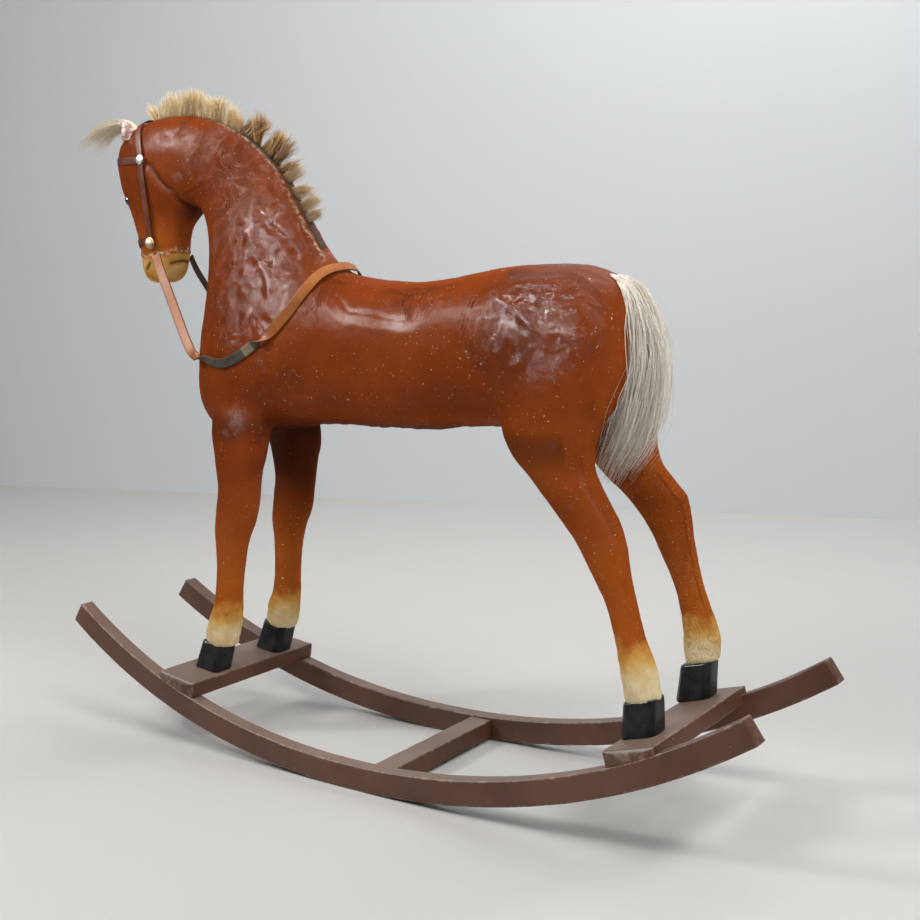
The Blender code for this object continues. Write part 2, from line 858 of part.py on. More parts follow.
def frame_parts():
    """Rockers, platforms and slat, with the notches that seat the platforms."""
    parts = {}
    for name, side in (("rocker_left", 1), ("rocker_right", -1)):
        parts[name] = rocker(name, side)
    parts["front_platform"] = platform("front_platform", FRONT_BOARD, FRONT_BOARD_T)
    parts["rear_platform"] = platform("rear_platform", REAR_BOARD, REAR_BOARD_T)
    for name in ("front_platform", "rear_platform"):
        for side in (1, -1):
            notch = loft(f"notch_{name}_{side}", rocker_rings(side, GAP + 0.2, 40.0), "raw_wood", False)
            cut(parts[name], notch)
    reach = half_width(sum(SLAT_X) / 2) - ROCKER_T - GAP - 0.6
    parts["cross_slat"] = box("cross_slat", SLAT_X, (-reach, reach), SLAT_Z, "frame_paint")
    return parts


def fasten_frame(parts):
    """Screws up through the rockers into the platforms, and nails into the slat's ends."""
    rows = (
        ("front_platform", 321.0, 84.0),
        ("rear_platform", -408.0, 121.0),
    )
    for board, x, tip_z in rows:
        for side, word in ((1, "left"), (-1, "right")):
            y = side * (half_width(x) - ROCKER_T / 2)
            head = (x, y, under(x) + 3.0)
            tip = (x, y, tip_z)
            name = f"{board}_screw_{word}"
            screw(name, head, tip)
            hole = screw_hole("hole_" + name, head, tip)
            cut(parts["rocker_" + word], hole)
            cut(parts[board], hole)
    x = sum(SLAT_X) / 2
    z = sum(SLAT_Z) / 2
    for side, word in ((1, "left"), (-1, "right")):
        head = (x, side * (half_width(x) - 0.4), z)
        tip = (x, side * (half_width(x) - 55.0), z)
        name = f"slat_nail_{word}"
        screw(name, head, tip, shank=NAIL_R, top=NAIL_HEAD_R, head_h=NAIL_HEAD_H)
        hole = screw_hole("hole_" + name, head, tip, NAIL_R, NAIL_HEAD_R, NAIL_HEAD_H, 3.0)
        cut(parts["rocker_" + word], hole)
        cut(parts["cross_slat"], hole)


def limbs(parts):
    """Hooves and legs, each screwed up from under its platform."""
    rows = (
        ("front_left", LEG_FL, 1, (0.0, 0.0), HOOF_FL, FRONT_BOARD, "front_platform"),
        ("front_right", LEG_FL, -1, RIGHT_FRONT_SHIFT, HOOF_FR, FRONT_BOARD, "front_platform"),
        ("rear_left", LEG_RL, 1, (0.0, 0.0), HOOF_RL, REAR_BOARD, "rear_platform"),
        ("rear_right", LEG_RR, -1, (0.0, 0.0), HOOF_RR, REAR_BOARD, "rear_platform"),
    )
    for word, table, side, shift, hoof, board, plank in rows:
        limb = leg("leg_" + word, table, side, shift, hoof, board)
        block = hoof_block("hoof_" + word, hoof, board)
        x = hoof[0] + hoof[4] * 0.7
        y = hoof[1]
        thickness = FRONT_BOARD_T if plank == "front_platform" else REAR_BOARD_T
        head = (x, y, board_top(board, x) - thickness + 1.5)
        tip = (x, y, hoof_top(hoof, board, x) + 28.0)
        screw("hoof_screw_" + word, head, tip)
        hole = screw_hole("hole_hoof_" + word, head, tip)
        for ob in (limb, block, parts[plank]):
            cut(ob, hole)
        parts["leg_" + word] = limb
        parts["hoof_" + word] = block


def core(parts):
    """Bolsters, spine board, neck post and the dowels that carry the legs."""
    (fx, fy, fz), (rx, ry, rz) = BOLSTER_FRONT, BOLSTER_REAR
    parts["front_bolster"] = box("front_bolster", fx, (-fy, fy), fz, "raw_wood", 3.0)
    parts["rear_bolster"] = box("rear_bolster", rx, (-ry, ry), rz, "raw_wood", 3.0)
    spine_x = (rx[1] + GAP, fx[0] - GAP)
    box("spine_board", spine_x, (-SPINE[0] / 2, SPINE[0] / 2), SPINE[1], "raw_wood", 2.0)
    (x0, z0), (x1, z1), thick, deep = NECK_POST
    run = Vector((x1 - x0, 0, z1 - z0)).normalized()
    across = Vector((run.z, 0, -run.x)) * deep / 2
    rings = []
    for x, z in ((x0, z0), (x1, z1)):
        p = Vector((x, 0, z))
        y = Vector((0, thick / 2, 0))
        rings.append([tuple(p + a + b) for a, b in (
            (across, y), (across, -y), (-across, -y), (-across, y))])
    rings[0] = [(p[0], p[1], z0) for p in rings[0]]
    loft("neck_post", rings, "raw_wood", False)
    for end, spec in (("front", DOWEL_FRONT), ("rear", DOWEL_REAR)):
        x, y, low, high = spec
        for side, word in ((1, "left"), (-1, "right")):
            name = f"leg_dowel_{end}_{word}"
            profile = ((DOWEL_R - 1, 0), (DOWEL_R, 1), (DOWEL_R, high - low - 1), (DOWEL_R - 1, high - low))
            revolve(name, profile, (x, side * y, low), (0, 0, 1), "raw_wood", 14)
            wide = DOWEL_R + FIT
            hole = revolve("hole_" + name, ((wide, -0.5), (wide, high - low + 0.5)),
                           (x, side * y, low), (0, 0, 1), "raw_wood", 14)
            cut(parts["leg_" + end + "_" + word], hole)
            cut(parts[end + "_bolster"], hole)
            cut(parts["body_shell"], hole)


def hair_parts(parts, trim):
    slot = crest_strip("mane_slot", FIT, 12.0, "raw_wood")
    cut(parts["body_shell"], slot)
    crest_strip("mane_strip", 0.0, 0.2, "hair_brown")
    for name, first, last, heights, half in MANE_TUFTS:
        finish = "hair_cream" if name.endswith("front") else "hair_brown"
        loft(name, mane_rings(first, last, heights, half, 9), finish)
    cut(forelock(), trim)
    cut(tail(), trim)
    (x0, z0), (x1, z1), r = TAIL_PLUG
    run = Vector((x1 - x0, 0, z1 - z0))
    profile = ((r - 1, 0), (r, 1), (r, run.length - 1), (r - 1, run.length))
    revolve("tail_plug", profile, (x0, 0, z0), run, "raw_wood", 14)
    wide = r + FIT
    hole = revolve("hole_tail_plug", ((wide, -4), (wide, run.length + 12)),
                   (x0, 0, z0), run, "raw_wood", 14)
    cut(parts["body_shell"], hole)


def harness():
    headstall()
    browband()
    noseband()
    for side, word in ((1, "left"), (-1, "right")):
        stud("brow_stud_" + word, BROW_STUD, side, SILVER_R, 3.2, "nickel")
        stud("nose_stud_" + word, NOSE_STUD, side, BRASS_R, 5.5, "brass")
    reins()


def head_parts(trim):
    for name, place in (("ear_left", EAR_LEFT), ("ear_right", EAR_RIGHT)):
        cut(ear(name, place), trim)
    eye("eye_left", 1)
    eye("eye_right", -1)


def main():
    clear_scene()
    parts = frame_parts()
    fasten_frame(parts)
    parts["body_shell"] = body_shell()
    trim = skin_cutter("body_clearance")
    limbs(parts)
    core(parts)
    for word in ("front_left", "front_right", "rear_left", "rear_right"):
        cut(parts["leg_" + word], trim)
    hair_parts(parts, trim)
    head_parts(trim)
    harness()


main()
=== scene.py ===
import math

import bpy
import numpy as np
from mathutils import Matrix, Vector
from mathutils.bvhtree import BVHTree


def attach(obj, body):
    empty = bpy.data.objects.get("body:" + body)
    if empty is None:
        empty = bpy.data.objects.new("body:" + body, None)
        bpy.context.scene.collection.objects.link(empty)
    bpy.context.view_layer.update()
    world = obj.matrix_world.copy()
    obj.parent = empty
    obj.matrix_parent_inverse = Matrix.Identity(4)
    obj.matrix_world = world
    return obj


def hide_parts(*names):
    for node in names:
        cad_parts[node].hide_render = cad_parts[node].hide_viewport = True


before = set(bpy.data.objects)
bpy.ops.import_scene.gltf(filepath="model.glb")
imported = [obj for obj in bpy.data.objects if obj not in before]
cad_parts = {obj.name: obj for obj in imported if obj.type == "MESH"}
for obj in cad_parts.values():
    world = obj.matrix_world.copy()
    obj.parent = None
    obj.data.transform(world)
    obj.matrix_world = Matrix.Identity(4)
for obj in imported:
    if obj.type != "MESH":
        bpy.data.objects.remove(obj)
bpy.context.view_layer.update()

REST_X = -11.0  # the rockers' lowest point in the row frame, millimetres
MM = 0.001
SEED = 7


# ---------------------------------------------------------------- geometry helpers


def row(points):
    """Millimetres from the horse's own zero to metres in the row frame."""
    return (np.asarray(points, float) + (REST_X, 0.0, 0.0)) * MM


def horse(points):
    """Metres in the row frame to millimetres from the horse's own zero."""
    return np.asarray(points, float) / MM - (REST_X, 0.0, 0.0)


def toward(azimuth, elevation):
    """Unit vector out from the horse at that azimuth and elevation, in degrees."""
    a, e = math.radians(azimuth), math.radians(elevation)
    return Vector((math.sin(a) * math.cos(e), -math.cos(a) * math.cos(e), math.sin(e)))


def spline(rows, t):
    """Catmull-Rom through rows of numbers, at an array of places t."""
    rows = np.asarray(rows, float)
    if rows.ndim == 1:
        rows = rows[:, None]
    t = np.atleast_1d(np.asarray(t, float))
    last = len(rows) - 1
    i = np.clip(np.floor(t).astype(int), 0, last - 1)
    u = (t - i)[:, None]
    p0, p1 = rows[np.maximum(i - 1, 0)], rows[i]
    p2, p3 = rows[i + 1], rows[np.minimum(i + 2, last)]
    return 0.5 * (
        2 * p1 + (p2 - p0) * u + (2 * p0 - 5 * p1 + 4 * p2 - p3) * u**2
        + (3 * p1 - p0 - 3 * p2 + p3) * u**3
    )


def unit(v):
    return v / np.maximum(np.linalg.norm(v, axis=-1, keepdims=True), 1e-12)


def smoothstep(low, high, x):
    t = np.clip((x - low) / (high - low), 0.0, 1.0)
    return t * t * (3 - 2 * t)


def hump(x, reach):
    """1 at zero, falling away smoothly over that reach to both sides."""
    return np.exp(-((x / reach) ** 2))


def lattice(i, seed):
    """A number from 0 to 1 for each corner of a grid."""
    n = i[..., 0] * 73856093 ^ i[..., 1] * 19349663 ^ i[..., 2] * 83492791 ^ (seed * 9176131 + 77)
    n = n & 0xFFFFFFFF
    n = ((n ^ (n >> 15)) * 2246822519) & 0xFFFFFFFF
    n = ((n ^ (n >> 13)) * 3266489917) & 0xFFFFFFFF
    return (n ^ (n >> 16)) / 2.0**32


def lumps(p, size, seed=0):
    """Smooth noise from -1 to 1 with lumps of that size, in the units of p."""
    q = np.asarray(p, float) / size
    i = np.floor(q).astype(np.int64)
    f = q - i
    f = f * f * (3 - 2 * f)
    total = np.zeros(len(q))
    for corner in np.ndindex(2, 2, 2):
        w = np.prod(np.where(np.array(corner) == 1, f, 1 - f), axis=1)
        total += w * lattice(i + np.array(corner), seed)
    return 2 * total - 1


def wander(p, size, seed):
    """Smooth noise for each of x, y and z."""
    return np.stack([lumps(p, size, s) for s in range(seed, seed + 3)], 1)


def fast_mesh(name, points, quads=None, tris=None, smooth=True):
    """A mesh from arrays of points, quads and triangles."""
    quads = np.zeros((0, 4), int) if quads is None else np.asarray(quads, int)
    tris = np.zeros((0, 3), int) if tris is None else np.asarray(tris, int)
    mesh = bpy.data.meshes.new(name)
    mesh.vertices.add(len(points))
    mesh.vertices.foreach_set("co", np.asarray(points, np.float32).ravel())
    mesh.loops.add(quads.size + tris.size)
    mesh.loops.foreach_set("vertex_index", np.concatenate([quads.ravel(), tris.ravel()]))
    starts = np.concatenate([
        np.arange(len(quads)) * 4, quads.size + np.arange(len(tris)) * 3
    ])
    mesh.polygons.add(len(quads) + len(tris))
    mesh.polygons.foreach_set("loop_start", starts)
    mesh.polygons.foreach_set("use_smooth", np.full(len(starts), smooth))
    mesh.update(calc_edges=True)
    mesh.validate()
    return mesh


def link(mesh, name):
    ob = bpy.data.objects.new(name, mesh)
    bpy.context.scene.collection.objects.link(ob)
    return ob


def piece(mesh, name, mats, replaces):
    """A visible piece of the horse, on its one rigid body."""
    ob = link(mesh, name)
    for mat in mats if isinstance(mats, (list, tuple)) else [mats]:
        mesh.materials.append(mat)
    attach(ob, "root")
    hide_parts(*replaces)
    return ob


def paint(mesh, name, values):
    """A point attribute that the materials read: rows of up to four numbers."""
    values = np.asarray(values, np.float32)
    if values.ndim == 1:
        values = values[:, None]
    full = np.zeros((len(values), 4), np.float32)
    full[:, : values.shape[1]] = values
    layer = mesh.attributes.new(name, "FLOAT_COLOR", "POINT")
    layer.data.foreach_set("color", full.ravel())


def tube_faces(rings, around):
    """Quads between consecutive rings of points."""
    i = np.arange(rings - 1)[:, None] * around
    j = np.arange(around)[None, :]
    k = (j + 1) % around
    return np.stack([i + j, i + k, i + around + k, i + around + j], axis=-1).reshape(-1, 4)


def capped(rings):
    """Points, quads and triangles of a closed solid through an array of rings."""
    rings = np.asarray(rings, float)
    count, around, _ = rings.shape
    points = np.concatenate([rings.reshape(-1, 3), rings[0].mean(0)[None], rings[-1].mean(0)[None]])
    quads = tube_faces(count, around)
    j = np.arange(around)
    k = (j + 1) % around
    tip = count * around
    end = (count - 1) * around
    tris = np.concatenate([
        np.stack([k, j, np.full(around, tip)], 1),
        np.stack([end + j, end + k, np.full(around, tip + 1)], 1),
    ])
    if volume(points, quads, tris) < 0:
        quads = quads[:, ::-1]
        tris = tris[:, ::-1]
    return points, quads, tris


def volume(points, quads, tris):
    """Six times the signed volume inside the faces."""
    all_tris = np.concatenate([quads[:, :3], quads[:, [0, 2, 3]], tris])
    a, b, c = (points[all_tris[:, i]] for i in range(3))
    return float(np.einsum("ij,ij->i", a, np.cross(b, c)).sum())


def get_points(mesh):
    out = np.empty(len(mesh.vertices) * 3, np.float32)
    mesh.vertices.foreach_get("co", out)
    return out.reshape(-1, 3).astype(float)


def set_points(mesh, points):
    mesh.vertices.foreach_set("co", np.asarray(points, np.float32).ravel())
    mesh.update()


def get_normals(mesh):
    out = np.empty(len(mesh.vertices) * 3, np.float32)
    mesh.vertices.foreach_get("normal", out)
    return out.reshape(-1, 3).astype(float)


def relax(mesh, points, weight, rounds):
    """Laplacian smoothing, by each point's weight from 0 to 1."""
    edges = np.empty(len(mesh.edges) * 2, np.int32)
    mesh.edges.foreach_get("vertices", edges)
    a, b = edges.reshape(-1, 2).T
    count = np.bincount(a, minlength=len(points)) + np.bincount(b, minlength=len(points))
    for _ in range(rounds):
        total = np.empty_like(points)
        for k in range(3):
            total[:, k] = np.bincount(a, points[b, k], len(points))
            total[:, k] += np.bincount(b, points[a, k], len(points))
        points = points + weight[:, None] * (total / count[:, None] - points) * 0.7
    return points


def near_line(points, line):
    """Distance of each point from a polyline, and how far along it, from 0 to 1."""
    best = np.full(len(points), 1e9)
    along = np.zeros(len(points))
    line = np.asarray(line, float)
    lengths = np.linalg.norm(np.diff(line, axis=0), axis=1)
    done = np.concatenate([[0], np.cumsum(lengths)])
    for i, (a, b) in enumerate(zip(line[:-1], line[1:])):
        d = b - a
        t = np.clip(((points - a) @ d) / (d @ d), 0, 1)
        gap = np.linalg.norm(points - a - t[:, None] * d, axis=1)
        closer = gap < best
        best[closer] = gap[closer]
        along[closer] = (done[i] + t[closer] * lengths[i]) / done[-1]
    return best, along


# ---------------------------------------------------------------- material helpers


class Mat:
    """Short names for building one node material."""

    def __init__(self, name, **shader):
        self.mat = bpy.data.materials.new(name)
        self.mat.use_nodes = True
        self.tree = self.mat.node_tree
        self.bsdf = self.tree.nodes["Principled BSDF"]
        for key, value in shader.items():
            self.bsdf.inputs[key.replace("_", " ")].default_value = value

    def node(self, kind, inputs=(), **props):
        n = self.tree.nodes.new(kind)
        for key, value in props.items():
            setattr(n, key, value)
        for key, value in dict(inputs).items():
            self.feed(n.inputs[key], value)
        return n

    def feed(self, socket, value):
        if isinstance(value, bpy.types.NodeSocket):
            self.tree.links.new(value, socket)
        elif isinstance(value, (tuple, list)) and len(value) == 3 and socket.type == "RGBA":
            socket.default_value = (*value, 1.0)
        else:
            socket.default_value = value

    def set(self, name, value):
        self.feed(self.bsdf.inputs[name], value)

    def coords(self):
        return self.node("ShaderNodeTexCoord").outputs["Object"]

    def scaled(self, vector, scale):
        return self.node("ShaderNodeMapping", {"Vector": vector, "Scale": scale}).outputs[0]

    def noise(self, vector, scale, detail=3.0, rough=0.55, distort=0.0):
        n = self.node("ShaderNodeTexNoise", {
            "Vector": vector, "Scale": scale, "Detail": detail, "Roughness": rough,
            "Distortion": distort,
        })
        return n.outputs["Fac"]

    def cells(self, vector, scale, feature="F1"):
        return self.node("ShaderNodeTexVoronoi", {"Vector": vector, "Scale": scale}, feature=feature)

    def ramp(self, value, *stops):
        n = self.node("ShaderNodeValToRGB", {"Fac": value})
        while len(n.color_ramp.elements) < len(stops):
            n.color_ramp.elements.new(0.5)
        for element, (place, colour) in zip(n.color_ramp.elements, stops):
            element.position = place
            element.color = (*colour, 1.0)
        return n.outputs["Color"]

    def math(self, op, a, b=0.0, c=0.0):
        return self.node("ShaderNodeMath", {0: a, 1: b, 2: c}, operation=op).outputs[0]

    def step(self, value, low, high):
        n = self.node("ShaderNodeMapRange", {"Value": value, "From Min": low, "From Max": high},
                      interpolation_type="SMOOTHSTEP")
        return n.outputs["Result"]

    def mix(self, factor, a, b):
        n = self.node("ShaderNodeMix", data_type="RGBA")
        self.feed(n.inputs["Factor"], factor)
        self.feed(n.inputs["A"], a)
        self.feed(n.inputs["B"], b)
        return n.outputs["Result"]

    def attribute(self, name):
        n = self.node("ShaderNodeAttribute", attribute_name=name)
        return self.node("ShaderNodeSeparateColor", {"Color": n.outputs["Color"]}).outputs

    def bump(self, height, distance, strength=1.0, after=None):
        n = self.node("ShaderNodeBump", {
            "Height": height, "Distance": distance, "Strength": strength})
        if after is not None:
            self.feed(n.inputs["Normal"], after)
        return n.outputs["Normal"]


# ---------------------------------------------------------------- camera


VIEW_AZIMUTH, VIEW_ELEVATION, VIEW_AWAY = 212.737, 7.1125, 1.824  # degrees, degrees, metres


def camera():
    """The viewing angle: from the horse's left and behind, a little above."""
    target = Vector(((-87.4 + REST_X) * MM, 0.0, 0.4367))
    way = toward(VIEW_AZIMUTH, VIEW_ELEVATION)
    cam = bpy.data.objects.new("camera", bpy.data.cameras.new("camera"))
    cam.data.sensor_width = 36.0
    cam.data.lens = 52.3
    cam.data.clip_start = 0.05
    cam.location = target + way * VIEW_AWAY
    cam.rotation_euler = (-way).to_track_quat("-Z", "Y").to_euler()
    bpy.context.scene.collection.objects.link(cam)
    bpy.context.scene.camera = cam


def view_floor():
    """Level unit vectors ahead of the camera and to its right."""
    azimuth = math.radians(VIEW_AZIMUTH)
    ahead = Vector((-math.sin(azimuth), math.cos(azimuth), 0))
    return ahead, Vector((ahead.y, -ahead.x, 0))


camera()


# ---------------------------------------------------------------- body form

# ((top x, z), (bottom x, z), half width, crest taper), as in the frame's solids
BODY = np.array([
    (-352, 632, -361, 585, 34, 0.00),
    (-344, 656, -357, 552, 66, 0.00),
    (-323, 680, -344, 522, 88, 0.02),
    (-285, 697, -303, 500, 97, 0.04),
    (-230, 700, -232, 490, 96, 0.05),
    (-165, 696, -160, 488, 90, 0.05),
    (-110, 688, -105, 484, 86, 0.04),
    (-40, 678, -40, 477, 86, 0.03),
    (30, 680, 40, 476, 86, 0.03),
    (88, 689, 115, 476, 84, 0.05),
    (115, 699, 190, 468, 82, 0.10),
    (131, 711, 262, 456, 80, 0.16),
    (144, 727, 322, 453, 76, 0.20),
    (158, 747, 359, 490, 71, 0.22),
    (175, 773, 363, 552, 63, 0.22),
    (196, 805, 355, 612, 55, 0.20),
    (218, 836, 348, 665, 48, 0.18),
    (250, 867, 346, 712, 43, 0.16),
    (292, 895, 348, 750, 40, 0.14),
    (335, 914, 356, 776, 38, 0.12),
    (378, 925, 367, 788, 38, 0.08),
    (425, 929, 377, 788, 40, 0.02),
    (473, 925, 387, 780, 42, -0.04),
    (511, 912, 397, 771, 42, -0.06),
    (535, 893, 405, 762, 40, -0.06),
    (542, 868, 410, 753, 38, -0.04),
    (535, 835, 413, 745, 36, 0.00),
    (522, 800, 415, 735, 34, 0.02),
    (509, 764, 417, 723, 31, 0.04),
    (500, 731, 419, 709, 29, 0.04),
    (497, 706, 423, 696, 28, 0.00),
    (491, 689, 431, 686, 24, 0.00),
    (481, 680, 443, 680, 16, 0.00),
], float)
SQUARE = 2.25

# z, x, y, half length in x, half width in y
LEG_FRONT = np.array([
    (548, 262, 40, 34, 22), (500, 262, 50, 46, 27), (460, 257, 57, 50, 31),
    (430, 255, 61, 43, 31), (405, 257, 62, 36, 30), (380, 258, 62, 33, 28),
    (352, 262, 62, 33, 27), (330, 266, 62, 32, 26), (308, 272, 62, 28, 24),
    (285, 275, 62, 24, 21), (255, 278, 62, 22, 19), (222, 281, 63, 21.5, 19),
    (196, 284, 63, 23, 20), (175, 290, 63, 25.5, 22), (156, 294, 64, 26, 22),
    (140, 298, 64, 24, 20.5),
], float)
LEG_REAR_LEFT = np.array([
    (655, -275, 34, 50, 28), (610, -283, 44, 72, 42), (565, -278, 52, 80, 49),
    (525, -268, 58, 76, 47), (490, -262, 63, 66, 42), (462, -267, 66, 55, 37),
    (438, -281, 67, 46, 33), (410, -303, 69, 42, 30), (383, -325, 71, 38, 27),
    (358, -341, 73, 32, 24.5), (327, -354, 75, 26, 22), (294, -368, 77, 20.5, 18),
    (267, -377, 78, 19, 17), (242, -386, 80, 19.5, 18), (215, -395, 81, 21.5, 19.5),
    (192, -401, 82, 22.5, 20.5), (172, -405, 82, 21.5, 20),
], float)
LEG_REAR_RIGHT = np.array([
    (655, -278, 34, 50, 28), (610, -287, 44, 72, 42), (565, -285, 54, 80, 49),
    (525, -280, 62, 76, 47), (490, -280, 70, 66, 42), (462, -287, 77, 57, 37),
    (438, -301, 83, 49, 33), (415, -320, 88, 46, 31), (398, -336, 91, 43.5, 29),
    (374, -351, 92, 36, 25.5), (345, -363, 93, 28, 22), (315, -373, 94, 24, 19),
    (281, -385, 95, 20.5, 17.5), (248, -396, 96, 21, 18), (215, -404, 97, 24, 20),
    (195, -406, 97, 23.5, 20), (180, -407, 97, 22, 19.5),
], float)
RIGHT_FRONT_SHIFT = (2.0, 8.0)


def signed_power(value, power):
    return np.sign(value) * np.abs(value) ** power


def form_point(station, turn, grow=0.0):
    """Points of the body's form; turn 0 is the top, 0.25 the left side, 0.5 underneath."""
    station, turn = np.broadcast_arrays(np.atleast_1d(station), np.atleast_1d(turn))
    tx, tz, bx, bz, width, taper = spline(BODY, station).T
    half = np.stack([(tx - bx) / 2, (tz - bz) / 2], 1)
    reach = np.linalg.norm(half, axis=1)
    centre = np.stack([(tx + bx) / 2, (tz + bz) / 2], 1)
    angle = 2 * math.pi * turn
    up = signed_power(np.cos(angle), 2 / SQUARE)
    side = signed_power(np.sin(angle), 2 / SQUARE)
    place = centre + half * ((reach + grow) / reach * up)[:, None]
    y = (width + grow) * side * (1 - taper * np.cos(angle))
    return np.stack([place[:, 0], y, place[:, 1]], 1)


def form_normal(station, turn):
    """Outward unit normals of the body's form."""
    station, turn = np.broadcast_arrays(np.atleast_1d(station), np.atleast_1d(turn))
    along = form_point(station + 0.03, turn) - form_point(station - 0.03, turn)
    about = form_point(station, turn + 0.01) - form_point(station, turn - 0.01)
    n = unit(np.cross(along, about))
    middle = (form_point(station, 0.0) + form_point(station, 0.5)) / 2
    flip = np.einsum("ij,ij->i", n, form_point(station, turn) - middle) < 0
    n[flip] *= -1
    return n


def leg_rings(rows, side, shift, slope, steps=6, around=40):
    """Rings down a leg, shifted towards its foot, the last ones laid on the board's slope."""
    count = (len(rows) - 1) * steps + 1
    z, x, y, a, b = spline(rows, np.arange(count) / steps).T
    down = (rows[0, 0] - z) / (rows[0, 0] - rows[-1, 0])
    x = x - shift[0] * down
    y = y + shift[1] * down
    tilt = slope * np.clip((down - 0.8) / 0.2, 0, 1)
    angle = 2 * math.pi * np.arange(around) / around
    dx = a[:, None] * signed_power(np.cos(angle), 2 / 2.15)
    dy = b[:, None] * signed_power(np.sin(angle), 2 / 2.15)
    return np.stack([
        x[:, None] + dx, side * y[:, None] + dy, z[:, None] + tilt[:, None] * dx
    ], axis=-1)


FRONT_BOARD = ((357.0, 105.5), (286.5, 96.0))
REAR_BOARD = ((-380.5, 124.2), (-448.0, 142.3))


def board_slope(board):
    (x0, z0), (x1, z1) = board
    return (z1 - z0) / (x1 - x0)


def board_top(board, x):
    return board[0][1] + board_slope(board) * (x - board[0][0])


VOXEL, VOXEL_QUICK = 0.0031, 0.0045  # how finely the skin is remeshed, metres


def skin_mesh():
    """One closed skin over the body, neck, head and legs, in millimetres."""
    points, quads, tris = [], [], []
    stations = np.linspace(0, len(BODY) - 1, 6 * (len(BODY) - 1) + 1)
    around = 72
    front, rear = board_slope(FRONT_BOARD), board_slope(REAR_BOARD)
    forms = (
        np.stack([form_point(stations, j / around) for j in range(around)], axis=1),
        leg_rings(LEG_FRONT, 1, (0, 0), front),
        leg_rings(LEG_FRONT, -1, RIGHT_FRONT_SHIFT, front),
        leg_rings(LEG_REAR_LEFT, 1, (0, 0), rear),
        leg_rings(LEG_REAR_RIGHT, -1, (0, 0), rear),
    )
    base = 0
    for form in forms:
        p, q, t = capped(form)
        points.append(p)
        quads.append(q + base)
        tris.append(t + base)
        base += len(p)
    raw = fast_mesh("skin_raw", row(np.concatenate(points)), np.concatenate(quads),
                    np.concatenate(tris))
    ob = link(raw, "skin_raw")
    mod = ob.modifiers.new("remesh", "REMESH")
    mod.mode = "VOXEL"
    mod.voxel_size = VOXEL
    graph = bpy.context.evaluated_depsgraph_get()
    mesh = bpy.data.meshes.new_from_object(ob.evaluated_get(graph))
    bpy.data.objects.remove(ob, do_unlink=True)
    mesh.name = "skin"
    mesh.polygons.foreach_set("use_smooth", [True] * len(mesh.polygons))
    return mesh


def blend_joints(mesh):
    """Flows the legs into the body and evens the whole skin."""
    p = get_points(mesh)
    q = horse(p)
    front = (
        smoothstep(185, 215, q[:, 0]) * smoothstep(372, 340, q[:, 0])
        * smoothstep(410, 450, q[:, 2]) * smoothstep(590, 540, q[:, 2])
    )
    rear = (
        smoothstep(-400, -370, q[:, 0]) * smoothstep(-165, -200, q[:, 0])
        * smoothstep(425, 465, q[:, 2]) * smoothstep(668, 640, q[:, 2])
    )
    weight = np.maximum(front, rear)
    rounds = 1.0
    p = relax(mesh, p, weight, int(22 * rounds))
    p = relax(mesh, p, np.full(len(p), 0.6), int(4 * rounds) + 1)
    set_points(mesh, p)


def mirrored(points):
    """The points with y made positive, so that one feature serves both sides."""
    out = points.copy()
    out[:, 1] = np.abs(out[:, 1])
    return out


# lines of the head and neck on the horse's left side: points, half width, depth outwards
CREASES = (
    # jaw edge behind the cheek
    (((452, 42, 862), (433, 42, 843), (419, 41, 827), (402, 37, 810), (390, 27, 796),
      (376, 8, 789)), 2.6, -3.4),
    (((456, 41, 850), (440, 42, 832), (424, 41, 814), (408, 38, 798)), 6.0, 1.6),
    # wrinkle and seam across the neck
    (((392, 32, 808), (365, 36, 817), (345, 39, 826), (318, 39, 834)), 1.8, 1.4),
    (((340, 34, 750), (289, 47, 751), (240, 48, 745), (200, 40, 740), (166, 28, 734)), 1.8, 1.1),
    # folds down the side of the neck
    (((238, 37, 795), (214, 39, 759), (186, 38, 738), (155, 40, 704)), 6.0, -2.6),
    (((246, 47, 760), (238, 50, 736), (215, 55, 706), (197, 62, 667), (188, 74, 620)), 8.0, 2.8),
    (((262, 46, 765), (257, 53, 724), (255, 62, 676)), 6.0, -1.8),
    (((268, 60, 680), (247, 71, 625), (238, 77, 585)), 8.0, -2.0),
    (((336, 56, 655), (328, 60, 628), (327, 62, 600)), 5.0, 1.6),
    # along the side below the seat, and the thigh's front edge
    (((92, 56, 667), (43, 72, 639), (-25, 76, 631), (-92, 79, 630)), 3.5, -0.8),
    (((105, 62, 655), (50, 76, 622), (-20, 80, 612), (-85, 82, 612)), 6.0, 0.7),
    (((-213, 94, 622), (-191, 93, 599), (-173, 90, 566), (-172, 80, 531)), 9.0, 3.2),
    (((-172, 58, 675), (-198, 79, 654), (-232, 89, 640), (-272, 97, 606)), 6.0, 2.0),
    (((-200, 62, 680), (-230, 82, 662), (-262, 92, 648)), 6.0, -1.6),
    (((-282, 84, 654), (-318, 76, 654), (-346, 62, 633)), 3.0, -1.2),
)
SEAM_CREST = ((350, 6, 916), (295, 8, 897), (259, 9, 873), (222, 10, 839), (197, 11, 804),
              (178, 12, 774), (159, 13, 744), (138, 13, 717))
MOUTH = ((426, 20, 708), (421, 13, 710), (419, 6, 711), (419, 0, 712))
NOSTRIL = ((472, 26, 700), (463, 29, 709))
SEAM_BELLY = ((330, 0, 455), (250, 0, 457), (180, 0, 470), (100, 0, 476), (0, 0, 477),
              (-100, 0, 484), (-200, 0, 489), (-300, 0, 500))


